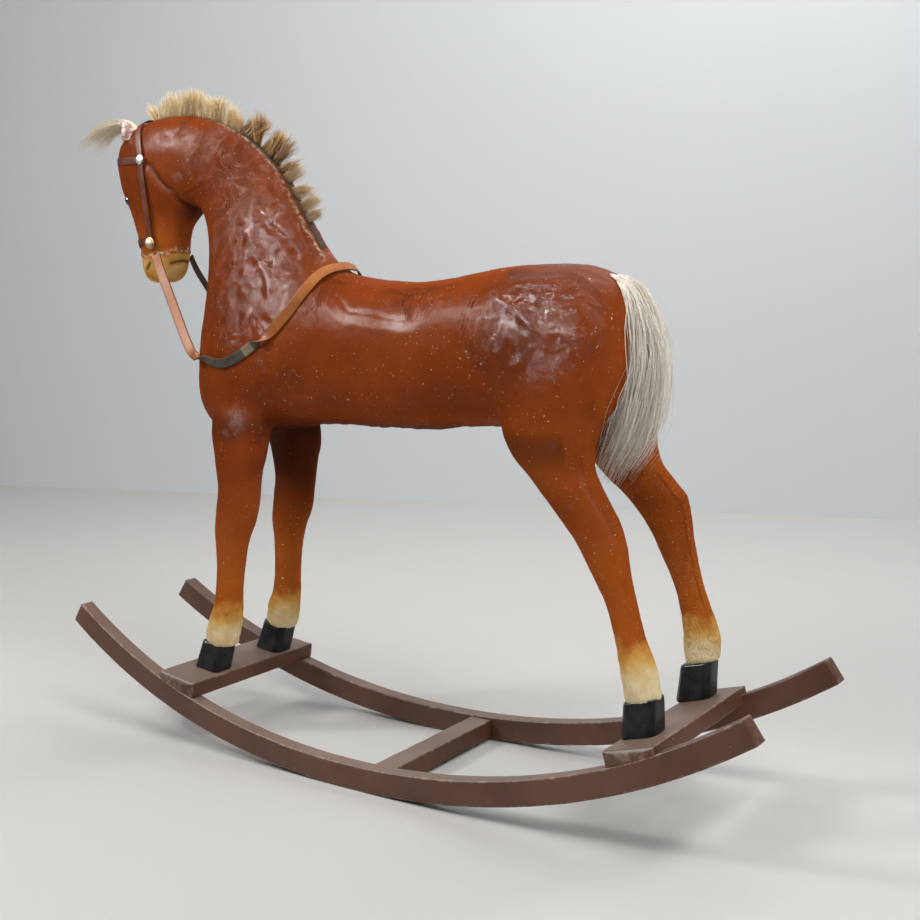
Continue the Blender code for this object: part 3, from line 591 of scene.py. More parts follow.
def seam_height(q):
    """Creases, wrinkles and the two raised seams, in millimetres outwards."""
    out = np.zeros(len(q))
    wobble = q + 3.0 * wander(q, 22, 1)
    wm = mirrored(wobble)
    for line, half, depth in CREASES:
        gap, along = near_line(wm, line)
        ends = smoothstep(0, 0.10, along) * smoothstep(1.0, 0.88, along)
        out += depth * ends * hump(gap, half)
    gap, _ = near_line(wm, SEAM_CREST)
    out += 2.1 * hump(gap, 2.8) * (0.75 + 0.45 * lumps(q, 9, 5))
    gap, along = near_line(wobble, SEAM_BELLY)
    out += (1.6 + 1.2 * lumps(q, 7, 6)) * hump(gap, 3.5) * smoothstep(0, 0.06, along)
    return out


# centre, radius and height of the rounder features, in millimetres, on both sides
FEATURES = (
    ((452, 40, 800), 34, 2.6),  # cheek
    ((500, 34, 792), 22, -2.4),  # hollow below the eye
    ((512, 33, 815), 8, 1.6),  # lower lid
    ((523, 33, 826), 14, 1.8),  # brow
    ((474, 28, 702), 8, 1.5),  # nostril's rim
    ((489, 24, 704), 7, 1.2),
    ((245, 88, 470), 26, 2.0),  # elbow
    ((222, 62, 452), 18, -2.0),
    ((300, 64, 322), 16, 1.6),  # knee
    ((-363, 72, 398), 13, 3.0),  # left hock
)
RIGHT_HOCK = ((-384, -91, 404), 13, 3.0)
MUZZLE_TOP = 722.0  # where the bare muzzle begins


def feature_height(q):
    """The face, the leg joints, the mouth and the nostrils, in millimetres outwards."""
    m = mirrored(q)
    out = brush(q, *RIGHT_HOCK)
    for feature in FEATURES:
        out += brush(m, *feature)
    out -= 2.6 * hump(near_line(m, MOUTH)[0], 2.0)
    out -= 2.4 * hump(near_line(m, NOSTRIL)[0], 2.4)
    rim = q[:, 2] - MUZZLE_TOP - 0.2 * np.maximum(450 - q[:, 0], 0) + 3 * lumps(q, 9, 13)
    out += 1.5 * hump(rim, 2.6) * (q[:, 0] > 395)
    return out


def sculpt(mesh):
    """Seams, folds, the face and the unevenness of layers of glued cloth."""
    p = get_points(mesh)
    q = horse(p)
    foot = foot_mask(q)
    body = smoothstep(225, 300, q[:, 2])
    uneven = (0.9 * lumps(q, 46, 8) + 0.45 * lumps(q, 19, 9)) * (0.35 + 0.65 * body)
    uneven += 0.22 * lumps(q, 8, 10)
    plaster = 0.9 * lumps(q, 9, 11) + 0.6 * lumps(q, 5, 12) + 0.4
    out = seam_height(q) + feature_height(q) + uneven + foot * plaster
    set_points(mesh, p + get_normals(mesh) * out[:, None] * MM)
    return q, foot


def brush(points, centre, radius, amount):
    """A round swelling or hollow about a centre."""
    gap = np.linalg.norm(points - np.asarray(centre, float), axis=1)
    return amount * np.exp(-((gap / radius) ** 2) * 1.6)


def foot_mask(q):
    """1 on the bare fetlocks, 0 above, by how high the plaster shows on each leg."""
    ragged = 9.0 * lumps(q, 16, 21) + 5.0 * lumps(q, 7, 22)
    front = q[:, 0] > 0
    left = q[:, 1] > 0
    edge = np.where(front, 190.0, np.where(left, 236.0, 232.0))
    return smoothstep(edge + 48, edge - 52, q[:, 2] + ragged)


def ground_masks(q, foot, border, head):
    """How far the cream ground and the orange under the brown show."""
    x, _, z = q.T
    muzzle = np.maximum(smoothstep(723, 715, border), 0.36 * smoothstep(760, 726, border)) * head
    cream = np.maximum(foot, muzzle * (0.60 + 0.22 * lumps(q, 11, 35)))
    legs = smoothstep(430, 250, z) * 0.6 + 0.4 * smoothstep(320, 230, z)
    legs = legs + 0.45 * smoothstep(-190, -240, x) * smoothstep(560, 470, z)
    orange = np.clip(legs + 0.8 * smoothstep(790, 740, z) * (x > 395), 0, 1)
    return cream, orange


def cloth_mask(q):
    """How far the weave shows: most over the rump, the neck and the right hind leg."""
    x, y, z = q.T
    rump = hump(x + 255, 85) * hump(z - 640, 75)
    neck = hump(x - 235, 85) * hump(z - 750, 120)
    hind = (x < -200) * (y < 0) * smoothstep(460, 400, z)
    return np.clip(1.2 * rump + 1.1 * neck + hind + 0.30 + 0.4 * lumps(q, 60, 33), 0, 1)


def painted_shade_and_mouth_marks(q):
    """Painted shade inside the legs, on the far front leg in the body's shadow, in the throat, under the
    belly and along the jaw crease, with the real dark paint of the mouth line and nostrils.
    """
    x, y, z = q.T
    inner = smoothstep(60, 20, np.abs(y)) * smoothstep(500, 440, z)
    # painted shadow of the body on the inner side of the far front leg
    far_leg = (y < 0) * (x > 0) * smoothstep(-104, -56, y)
    inner = np.maximum(inner, 1.2 * far_leg * smoothstep(520, 470, z)) * smoothstep(290, 400, z)
    throat = hump(x - 385, 22) * hump(z - 785, 16)
    belly = smoothstep(500, 478, z) * smoothstep(440, 470, z) * (np.abs(x) < 300)
    m = mirrored(q)
    jaw = hump(near_line(m, CREASES[0][0])[0], 3.0)
    lips = hump(near_line(m, MOUTH)[0], 2.3)
    nostril = hump(near_line(m, NOSTRIL)[0], 2.2)
    # painted shade; the lips and nostrils added next are real dark paint
    shade_and_marks = np.clip(0.7 * inner + 0.8 * throat + 0.5 * belly + 0.7 * jaw, 0, 1)
    return np.maximum(shade_and_marks, np.clip(1.5 * lips + 1.3 * nostril, 0, 1))


def gloss_mask(q):
    """The lacquer is shiniest low on the neck, over the rump and along the crest."""
    x, _, z = q.T
    shiny = np.maximum(hump(x - 214, 44) * hump(z - 705, 95), hump(x + 258, 80) * hump(z - 648, 78))
    shiny = np.maximum(shiny, 0.9 * hump(near_line(mirrored(q), SEAM_CREST)[0], 15.0))
    off_seat = smoothstep(-160, -205, x) + smoothstep(110, 150, x)
    return np.clip(0.12 + 0.95 * shiny * off_seat + 0.12 * lumps(q, 45, 34), 0, 1)


def skin_paint(mesh, q, foot):
    """Cream, orange, weave, painted shade with the dark mouth marks, foot, gloss and worn ridges, as point
    values for the material.
    """
    ragged = 5.0 * lumps(q, 10, 31) + 2.5 * lumps(q, 5, 32)
    border = q[:, 2] + ragged - 0.2 * np.maximum(450 - q[:, 0], 0)
    head = smoothstep(395, 402, q[:, 0]) * smoothstep(640, 660, q[:, 2])
    crest = hump(near_line(q + 1.5 * lumps(q, 12, 36)[:, None], SEAM_CREST)[0], 2.2)
    rim = hump(border - MUZZLE_TOP, 2.4) * head
    cream, orange = ground_masks(q, foot, border, head)
    paint(mesh, "paint_a", np.stack([cream, orange, cloth_mask(q)], 1))
    paint(mesh, "paint_b", np.stack([painted_shade_and_mouth_marks(q), foot, gloss_mask(q)], 1))
    paint(mesh, "paint_c", np.maximum(crest, rim))


WEAVE_PITCH = 0.0040  # metres for two threads


def weave(m, p, weave_on):
    """Hessian threads, on the plane that each stretch of cloth mostly lies in, and where they show."""
    x, y, z = m.node("ShaderNodeSeparateXYZ", {"Vector": p}).outputs
    facing = m.node("ShaderNodeSeparateXYZ", {
        "Vector": m.node("ShaderNodeTexCoord").outputs["Normal"]}).outputs
    sideways = m.step(m.math("ABSOLUTE", facing["Y"]), 0.45, 0.65)
    flat = m.node("ShaderNodeCombineXYZ", {"X": m.math("ADD", x, z), "Y": y}).outputs[0]
    upright = m.node("ShaderNodeCombineXYZ", {"X": x, "Y": z}).outputs[0]
    plane = m.mix(sideways, flat, upright)
    patch = m.cells(m.node("ShaderNodeMix", {
        "Factor": 0.08, "A": p, "B": m.node("ShaderNodeTexNoise", {
            "Vector": p, "Scale": 9.0}).outputs["Color"]}, data_type="VECTOR").outputs["Result"],
        9.0)
    patch_id = m.node("ShaderNodeSeparateColor", {"Color": patch.outputs["Color"]}).outputs
    turned = m.node("ShaderNodeVectorRotate", {
        "Vector": plane, "Angle": m.math("MULTIPLY", patch_id["Red"], 3.1)},
        rotation_type="Z_AXIS").outputs[0]
    bent = m.node("ShaderNodeVectorMath", {
        0: turned, 1: m.node("ShaderNodeTexNoise", {
            "Vector": p, "Scale": 24.0, "Detail": 1.0}).outputs["Color"], 2: (0.0032,) * 3},
        operation="MULTIPLY_ADD").outputs[0]
    u, v, _ = m.node("ShaderNodeSeparateXYZ", {"Vector": bent}).outputs
    pitch = 2 * math.pi / WEAVE_PITCH
    su = m.math("SINE", m.math("MULTIPLY", u, pitch))
    sv = m.math("SINE", m.math("MULTIPLY", v, pitch * 0.8))
    threads = m.math("MULTIPLY_ADD", m.math("MULTIPLY", su, sv), 0.5,
                     m.math("MULTIPLY", sv, 0.35))
    showing = m.step(m.math("ADD", m.noise(p, 26.0, 3.0, 0.6), m.math("MULTIPLY", weave_on, 0.6)),
                     0.62, 1.0)
    return threads, showing


def bare_ground(m, p, colour, cream, fine):
    """Ochre and then cream over the fetlocks and muzzle, and where that is."""
    patchy = m.noise(p, 34.0, 5.0, 0.65)
    show = m.math("ADD", cream, m.math("MULTIPLY", m.math("SUBTRACT", patchy, 0.5), 0.55))
    edge = m.step(show, 0.18, 0.50)
    ochre = m.ramp(show, (0.22, (0.40, 0.11, 0.014)), (0.45, (0.58, 0.25, 0.045)),
                   (0.70, (0.72, 0.44, 0.13)), (1.0, (0.86, 0.72, 0.45)))
    ochre = m.mix(m.math("MULTIPLY", fine, 0.4), ochre, (0.30, 0.16, 0.06))
    return m.mix(edge, colour, ochre), edge


def chipped(m, p, colour, edge):
    """Paint chips down to the cream ground, in drifts, and where they are."""
    drift = m.noise(p, 11.0, 3.0, 0.6)
    speckle = m.noise(p, 300.0, 2.0, 0.5)
    small = m.math("GREATER_THAN", speckle, m.math("MULTIPLY_ADD", drift, -0.16, 0.80))
    ragged = m.noise(p, 420.0, 2.0, 0.6)
    large = m.math("LESS_THAN", m.cells(p, 34.0).outputs["Distance"],
                   m.math("MULTIPLY_ADD", ragged, 0.20, -0.055))
    keep = m.math("GREATER_THAN", m.noise(p, 16.0, 1.0), 0.56)
    chip = m.math("MAXIMUM", small, m.math("MULTIPLY", large, keep))
    pale = m.mix(ragged, (0.50, 0.25, 0.11), (0.78, 0.62, 0.42))
    chip = m.math("MULTIPLY", chip, m.math("SUBTRACT", 1.0, edge))
    return m.mix(m.math("MULTIPLY", chip, 0.8), colour, pale), chip


def lacquer():
    """Brown lacquer over hessian and plaster, chipped to the cream ground."""
    m = Mat("lacquer", Roughness=0.5, Coat_IOR=1.4, Specular_IOR_Level=0.0)
    p = m.coords()
    a = m.attribute("paint_a")
    b = m.attribute("paint_b")
    cream, orange, weave_on = a["Red"], a["Green"], a["Blue"]
    ridge = m.attribute("paint_c")["Red"]
    shade_and_marks, foot, gloss = b["Red"], b["Green"], b["Blue"]
    broad = m.noise(p, 7.0, 4.0)
    fine = m.noise(p, 60.0, 4.0, 0.6)
    brown = m.ramp(broad, (0.30, (0.19, 0.036, 0.007)), (0.52, (0.25, 0.048, 0.0085)),
                   (0.72, (0.31, 0.064, 0.011)))
    brown = m.mix(m.math("MULTIPLY", fine, 0.35), brown, (0.13, 0.022, 0.005))
    warm = m.ramp(broad, (0.3, (0.40, 0.085, 0.009)), (0.7, (0.52, 0.15, 0.018)))
    colour = m.mix(m.math("MULTIPLY", orange, 0.55), brown, warm)
    colour, edge = bare_ground(m, p, colour, cream, fine)
    colour, chip = chipped(m, p, colour, edge)
    line = m.math("MULTIPLY", ridge, m.step(m.noise(p, 150.0, 3.0, 0.7), 0.44, 0.54))
    colour = m.mix(m.math("MULTIPLY", line, 0.85), colour, (0.74, 0.58, 0.36))
    # painted shade in the legs, throat, belly and jaw crease darkens the colour, along with the real dark
    # paint of the mouth and nostrils
    colour = m.mix(m.math("MULTIPLY", shade_and_marks, 0.85), colour, (0.030, 0.009, 0.004))
    threads, showing = weave(m, p, weave_on)
    height = m.math("MULTIPLY", threads, m.math("MULTIPLY", showing, m.math("SUBTRACT", 1.0, foot)))
    # painted shade: the colour darkens in the valleys between the threads where the weave shows
    thread_valley_shade = m.math("MULTIPLY", m.step(threads, 0.0, -0.6), m.math("MULTIPLY", showing, 0.42))
    m.set("Base Color", m.mix(thread_valley_shade, colour, (0.055, 0.013, 0.004)))
    normal = m.bump(height, 0.00030, 1.0)
    normal = m.bump(m.noise(p, 130.0, 4.0, 0.6), 0.0011, 0.35, normal)
    grit = m.noise(p, 520.0, 3.0, 0.7)
    gritty = m.math("MULTIPLY", grit, m.math("MULTIPLY_ADD", edge, 1.2, 0.18))
    normal = m.bump(gritty, 0.0012, 0.7, normal)
    normal = m.bump(m.math("MULTIPLY", chip, -1.0), 0.0005, 0.7, normal)
    m.set("Normal", normal)
    dull = m.math("MAXIMUM", edge, m.math("MULTIPLY", chip, 0.8))
    m.set("Coat Weight", m.math("MULTIPLY", m.math("MULTIPLY_ADD", dull, -0.42, 0.56),
                                m.math("MULTIPLY_ADD", gloss, 0.95, 0.05)))
    m.set("Roughness", m.math("MULTIPLY_ADD", m.noise(p, 40.0, 3.0), 0.25,
                              m.math("MULTIPLY_ADD", dull, 0.2, 0.35)))
    m.set("Coat Roughness", m.math("MULTIPLY_ADD", gloss, -0.28, 0.35))
    coat = m.bump(height, 0.00014, 1.0)
    coat = m.bump(m.noise(p, 100.0, 3.0, 0.6), 0.0005, 0.45, coat)
    m.set("Coat Normal", coat)
    return m.mat


def make_skin():
    """The lacquered skin of body and legs; returns it as a search tree."""
    mesh = skin_mesh()
    blend_joints(mesh)
    q, foot = sculpt(mesh)
    skin_paint(mesh, q, foot)
    legs = ["leg_" + w for w in ("front_left", "front_right", "rear_left", "rear_right")]
    piece(mesh, "skin", LACQUER, ["body_shell", *legs])
    return BVHTree.FromPolygons(get_points(mesh).tolist(), [list(f.vertices) for f in mesh.polygons])


# ---------------------------------------------------------------- wooden frame

ROCKER_FRONT, ROCKER_REAR = 550.0, -573.0
EXTRA = {1: (5.0, 0.0), -1: (1.0, 9.0)}  # how much longer each side's rocker is in front and behind
ROCKER_H, ROCKER_T = 34.0, 23.0
ROCKER_C2, ROCKER_C4 = 4.2e-4, 2.6e-10  # the underside's height is C2 x^2 + C4 x^4
REST_FLAT = 23.0  # half the level facet that it stands on
HALF_FRONT, HALF_REAR, SPRING_OUT = 123.0, 144.0, 14.0  # outer half widths, and the bow outwards


def under(x):
    """Height of a rocker's underside above the floor."""
    lift = ROCKER_C2 * REST_FLAT**2 + ROCKER_C4 * REST_FLAT**4
    return np.maximum(ROCKER_C2 * x * x + ROCKER_C4 * x**4 - lift, 0.0)


def half_width(x):
    """Distance of a rocker's outer face from the middle line."""
    u = (ROCKER_FRONT - x) / (ROCKER_FRONT - ROCKER_REAR)
    return HALF_FRONT + (HALF_REAR - HALF_FRONT) * u + SPRING_OUT * 4 * u * (1 - u)


def rounded(width, height, radius, per=5, along=6):
    """A rectangle's outline with round corners from (0, 0), and how near a corner each is."""
    spots, wear = [], []
    corners = ((width - radius, radius, -90), (width - radius, height - radius, 0),
               (radius, height - radius, 90), (radius, radius, 180))
    for i, (cx, cy, start) in enumerate(corners):
        for k in range(per):
            angle = math.radians(start + 90 * k / (per - 1))
            spots.append((cx + radius * math.cos(angle), cy + radius * math.sin(angle)))
            wear.append(1.0)
        nx, ny, nstart = corners[(i + 1) % 4]
        first = spots[-1]
        angle = math.radians(nstart)
        last = (nx + radius * math.cos(angle), ny + radius * math.sin(angle))
        for k in range(1, along):
            t = k / along
            spots.append((first[0] + (last[0] - first[0]) * t, first[1] + (last[1] - first[1]) * t))
            wear.append(0.0)
    return np.array(spots), np.array(wear)


def timber(name, rings, wear, node, rough=0.18):
    """A sawn piece from its rings, a little uneven, with its wear as a point value."""
    points, quads, tris = capped(rings)
    points = points + rough * wander(points, 26, 41)
    points = points + 0.5 * rough * wander(points, 7, 44)
    wear = np.concatenate([np.asarray(wear).ravel(), [1.0, 1.0]])
    mesh = fast_mesh(name, row(points), quads, tris)
    paint(mesh, "wear", wear)
    piece(mesh, name, FRAME_PAINT, [node])


def make_rocker(name, side, node):
    front, rear = ROCKER_FRONT + EXTRA[side][0], ROCKER_REAR - EXTRA[side][1]
    ease = np.array([0.0, 0.3, 0.9, 1.9, 3.2])
    draw = np.array([2.6, 1.7, 0.8, 0.2, 0.0])
    inner = np.linspace(rear + 6, front - 6, 130)
    x = np.concatenate([rear + ease, inner, (front - ease)[::-1]])
    inset = np.concatenate([draw, np.zeros(len(inner)), draw[::-1]])
    outline, near = rounded(ROCKER_T, ROCKER_H, 2.0, 5, 8)
    slope = 2 * ROCKER_C2 * x + 4 * ROCKER_C4 * x**3
    normal = np.stack([-slope, np.ones(len(x))], 1) / np.hypot(1.0, slope)[:, None]
    rings, wear = [], []
    for i in range(len(x)):
        s = np.clip(outline[:, 0], inset[i], ROCKER_T - inset[i])
        h = np.clip(outline[:, 1], inset[i], ROCKER_H - inset[i])
        px = x[i] + normal[i, 0] * h
        pz = under(x[i]) + normal[i, 1] * h
        rings.append(np.stack([px, side * (half_width(px) - s), pz], 1))
        end = smoothstep(9, 0, min(x[i] - rear, front - x[i]))
        wear.append(np.clip(near + 0.8 * end, 0, 1))
    timber(name, rings, wear, node)


def make_platform(name, board, thickness, node):
    (x0, z0), (x1, z1) = board
    along = np.array([x1 - x0, z1 - z0])
    length = np.linalg.norm(along)
    along /= length
    down = np.array([along[1], -along[0]])
    down = -down if down[1] > 0 else down
    outline, near = rounded(length, thickness, 1.8, 5, 10)
    reach = np.linspace(-1, 1, 110)
    ease = {0: 1.6, 1: 0.5, 108: 0.5, 109: 1.6}
    rings, wear = [], []
    for i, r in enumerate(reach):
        inset = ease.get(i, 0.0)
        s = np.clip(outline[:, 0], inset, length - inset)
        d = np.clip(outline[:, 1], inset, thickness - inset)
        p = np.array([x0, z0]) + s[:, None] * along + d[:, None] * down
        y = r * (half_width(p[:, 0]) - 0.35)
        ring = np.stack([p[:, 0], y, p[:, 1]], 1)
        # small splinters out of the top edges near the ends
        bite = np.maximum(lumps(ring, 5.0, 51) - 0.45, 0) * near * 3.0 * smoothstep(0.6, 1.0, abs(r))
        centre = np.array([(x0 + x1) / 2, 0, (z0 + z1) / 2 - thickness / 2])
        way = unit(np.stack([centre[0] - ring[:, 0], 0 * y, centre[2] - ring[:, 2]], 1))
        rings.append(ring + way * bite[:, None])
        wear.append(np.clip(near + smoothstep(0.97, 1.0, abs(r)), 0, 1))
    timber(name, rings, wear, node)


def make_slat():
    x0, x1, z0, z1 = -62.5, -27.5, 4.5, 31.5
    outline, near = rounded(x1 - x0, z1 - z0, 2.0, 5, 8)
    reach = half_width(-45.0) - ROCKER_T - 0.9
    rings, wear = [], []
    for y in np.linspace(-reach, reach, 70):
        rings.append(np.stack([x0 + outline[:, 0], np.full(len(outline), y), z0 + outline[:, 1]], 1))
        wear.append(near)
    timber("slat", rings, wear, "cross_slat", 0.25)


def frame_paint():
    """Thin brown paint on planed wood: grain shows through and the edges are rubbed."""
    m = Mat("frame_paint", Roughness=0.46, Specular_IOR_Level=0.22)
    p = m.coords()
    wear = m.attribute("wear")["Red"]
    grain = m.noise(m.scaled(p, (9.0, 90.0, 110.0)), 6.0, 5.0, 0.6, 0.4)
    broad = m.noise(p, 9.0, 4.0, 0.6)
    fine = m.noise(p, 300.0, 3.0, 0.6)
    brown = m.ramp(broad, (0.32, (0.088, 0.037, 0.021)), (0.55, (0.118, 0.051, 0.030)),
                   (0.75, (0.148, 0.068, 0.042)))
    colour = m.mix(m.math("MULTIPLY", grain, 0.38), brown, (0.062, 0.026, 0.015))
    rub = m.step(m.math("MULTIPLY_ADD", m.noise(p, 70.0, 4.0, 0.7), 0.8, m.math("MULTIPLY", wear, 0.34)),
                 0.70, 0.86)
    colour = m.mix(m.math("MULTIPLY", rub, 0.55), colour, (0.30, 0.20, 0.14))
    specks = m.math("LESS_THAN", m.cells(p, 62.0).outputs["Distance"],
                    m.math("MULTIPLY_ADD", fine, 0.16, -0.035))
    some = m.math("GREATER_THAN", m.noise(p, 21.0, 1.0), 0.60)
    speck = m.math("MULTIPLY", specks, some)
    colour = m.mix(speck, colour, (0.62, 0.52, 0.42))
    # faces that look upwards are made paler and greyer
    facing_up = m.node("ShaderNodeSeparateXYZ", {
        "Vector": m.node("ShaderNodeTexCoord").outputs["Normal"]}).outputs["Z"]
    paler_on_top = m.math("MULTIPLY", m.step(facing_up, 0.75, 1.0), m.math("MULTIPLY_ADD", broad, 0.5, 0.12))
    colour = m.mix(paler_on_top, colour, (0.36, 0.28, 0.23))
    m.set("Base Color", colour)
    m.set("Roughness", m.math("MULTIPLY_ADD", broad, 0.28, 0.32))
    normal = m.bump(grain, 0.0006, 0.5)
    normal = m.bump(fine, 0.0003, 0.4, normal)
    normal = m.bump(m.math("MULTIPLY", speck, -1.0), 0.0004, 0.6, normal)
    m.set("Normal", normal)
    return m.mat


# ---------------------------------------------------------------- hooves

HOOVES = {
    "front_left": ((317.0, 64.0, 46.0, 40.0, -14.0, 42.0), FRONT_BOARD),
    "front_right": ((315.0, -72.0, 47.0, 41.0, -16.0, 46.0), FRONT_BOARD),
    "rear_left": ((-404.0, 82.0, 47.0, 42.0, 0.0, 45.0), REAR_BOARD),
    "rear_right": ((-398.0, -98.0, 47.0, 42.0, -3.0, 50.0), REAR_BOARD),
}


def make_hoof(word):
    """A rasped block with broad facets, its top edge broken where the plaster was laid on."""
    (x0, y0, length, width, lean, height), board = HOOVES[word]
    slope = board_slope(board)
    base = board_top(board, x0)
    c = 0.30  # how much of each corner is rasped off
    corner = np.array([
        (1, 1 - 1.4 * c), (1 - c, 1), (-1 + c, 1), (-1, 1 - c),
        (-1, -1 + c), (-1 + c, -1), (1 - c, -1), (1, -1 + 1.4 * c),
    ])
    per = 9
    outline = []
    for i in range(8):
        a, b = corner[i], corner[(i + 1) % 8]
        for k in range(per):
            outline.append(a + (b - a) * k / per)
    outline = np.array(outline)
    soft = (np.roll(outline, 1, 0) + outline + np.roll(outline, -1, 0)) / 3
    rings = []
    levels = np.concatenate([[0, 0.02, 0.05], np.linspace(0.1, 0.9, 12), [0.94, 0.97, 1.0, 1.0, 1.0]])
    shrinks = np.concatenate([[0.97, 0.99, 1.0], np.linspace(1.0, 0.935, 12),
                              [0.925, 0.91, 0.885, 0.6, 0.2]])
    for k, (level, shrink) in enumerate(zip(levels, shrinks)):
        dx = length / 2 * shrink * soft[:, 0]
        dy = width / 2 * shrink * soft[:, 1]
        x = x0 + lean * level + dx
        z = base + slope * dx + 0.3 + (height - 0.3) * level
        ring = np.stack([x, y0 + dy, z], 1)
        if level > 0.88:
            ring[:, 2] += 1.3 * lumps(ring, 7, 61) * (shrink > 0.8)
        rings.append(ring)
    points, quads, tris = capped(rings)
    points += 0.35 * wander(points, 12, 62)
    mesh = fast_mesh("hoof_" + word + "_block", row(points), quads, tris)
    top = (points[:, 2] - base - slope * (points[:, 0] - x0)) / height
    paint(mesh, "wear", smoothstep(0.9, 1.0, top))
    piece(mesh, "hoof_" + word + "_block", HOOF_BLACK, ["hoof_" + word])


def hoof_black():
    m = Mat("hoof_black", Roughness=0.3, Coat_Weight=0.12, Coat_Roughness=0.1, Specular_IOR_Level=0.10)
    p = m.coords()
    wear = m.attribute("wear")["Red"]
    broad = m.noise(p, 45.0, 4.0, 0.6)
    fine = m.noise(p, 420.0, 3.0, 0.65)
    black = m.ramp(broad, (0.35, (0.006, 0.006, 0.007)), (0.7, (0.022, 0.021, 0.022)))
    scuff = m.step(m.math("MULTIPLY_ADD", wear, 0.25, m.noise(p, 120.0, 4.0, 0.7)), 0.72, 0.86)
    m.set("Base Color", m.mix(m.math("MULTIPLY", scuff, 0.5), black, (0.22, 0.20, 0.18)))
    m.set("Roughness", m.math("MULTIPLY_ADD", broad, 0.3, 0.16))
    normal = m.bump(broad, 0.0012, 0.5)
    m.set("Normal", m.bump(fine, 0.0004, 0.4, normal))
    return m.mat


# ---------------------------------------------------------------- hair


def strands(name, path, radius, tint, node, sides=3):
    """Hairs from an array of paths (hair, point, xyz) in millimetres, thinner to the tip."""
    hairs, steps, _ = path.shape
    along = unit(np.gradient(path, axis=1))
    ref = np.array([0.31, 0.87, 0.38])
    side = unit(np.cross(along, ref))
    other = np.cross(along, side)
    t = np.linspace(0, 1, steps)
    taper = (1.0 - 0.75 * t**2)[None, :, None]
    taper = taper * np.asarray(radius)[:, None, None]
    rings = np.stack([
        path + taper * (side * math.cos(a) + other * math.sin(a))
        for a in 2 * math.pi * np.arange(sides) / sides
    ], axis=2)
    base = (np.arange(hairs) * steps * sides)[:, None, None]
    quads = (tube_faces(steps, sides)[None] + base).reshape(-1, 4)
    ends = np.array([list(range(sides))[::-1], [(steps - 1) * sides + k for k in range(sides)]])
    tris = (ends[None] + base).reshape(-1, 3)
    mesh = fast_mesh(name, row(rings.reshape(-1, 3)), quads, tris)
    paint(mesh, "tint", np.repeat(tint.reshape(-1, tint.shape[-1]), sides, axis=0))
    piece(mesh, name, HORSEHAIR, [node])


def hair_mat():
    """Horsehair: each hair carries its own colour, paler or darker along its length."""
    m = Mat("horsehair", Roughness=0.42, Sheen_Weight=0.5, Sheen_Roughness=0.4, Specular_IOR_Level=0.3)
    p = m.coords()
    colour = m.node("ShaderNodeAttribute", attribute_name="tint").outputs["Color"]
    fleck = m.noise(p, 900.0, 2.0, 0.6)
    m.set("Base Color", m.mix(m.math("MULTIPLY", fleck, 0.07), colour, (0.20, 0.14, 0.085)))
    m.set("Sheen Tint", colour)
    m.set("Specular Tint", colour)
    m.set("Roughness", m.math("MULTIPLY_ADD", fleck, 0.2, 0.32))
    return m.mat


def fade(base, tip, by):
    """Each hair's colour from base to tip."""
    return base[:, None] + (tip - base)[:, None] * by[None, :, None]


CREAM = np.array([1.0, 0.84, 0.52])
PALE = np.array([1.0, 0.95, 0.85])
HAIR_BROWN = np.array([0.42, 0.19, 0.062])
HAIR_DARK = np.array([0.11, 0.045, 0.018])
GREY = np.array([0.46, 0.39, 0.31])

# crest station of the first and last root, hair length, lean along the crest, clumps, colour mix
MANE = (
    ("mane_front_hairs", "mane_hair_front", 18.1, 21.95, 41.0, -0.05, 15, 1700, "cream"),
    ("mane_middle_hairs", "mane_hair_middle", 16.0, 18.15, 47.0, 0.22, 7, 1200, "brown"),
    ("mane_rear_hairs", "mane_hair_rear", 13.7, 15.9, 37.0, 0.30, 4, 800, "mixed"),
)


def mane_tint(tone, station, which, clumps, t, rng):
    """Colours along each hair of the cream, brown or mixed stretch of the mane."""
    hairs = len(station)
    shade = (rng.uniform(0.88, 1.10, hairs) * rng.uniform(0.86, 1.08, clumps)[which])[:, None]
    if tone == "cream":
        base = CREAM * shade
        warm = rng.random(hairs) < 0.12 + 0.3 * (rng.random(clumps) < 0.35)[which]
        base[warm] = base[warm] * [0.66, 0.50, 0.34]
        dark = smoothstep(19.0, 18.2, station)[:, None]
        base = base * (1 - 0.5 * dark) + HAIR_BROWN * 0.5 * dark
        tip = base * 1.06
    elif tone == "brown":
        base = HAIR_BROWN * shade
        dark = (rng.random(hairs) < 0.45)[:, None]
        base = np.where(dark, HAIR_DARK * shade, base)
        light = (rng.random(hairs) < 0.26)[:, None]
        base = np.where(light, CREAM * (0.8, 0.66, 0.5) * shade, base)
        tip = base * 1.25 + 0.02
    else:
        base = (0.35 * CREAM + 0.65 * HAIR_BROWN) * shade
        tip = np.where((rng.random(hairs) < 0.55)[:, None], CREAM * 0.8 * shade, base)
    # painted shade: each hair is darker towards its root, most in the brown and mixed stretches
    root_shade = 0.85 if tone == "cream" else 0.45
    return fade(base, tip, t**1.5) * (
        root_shade + (1 - root_shade) * smoothstep(0.0, 0.3, t))[None, :, None]


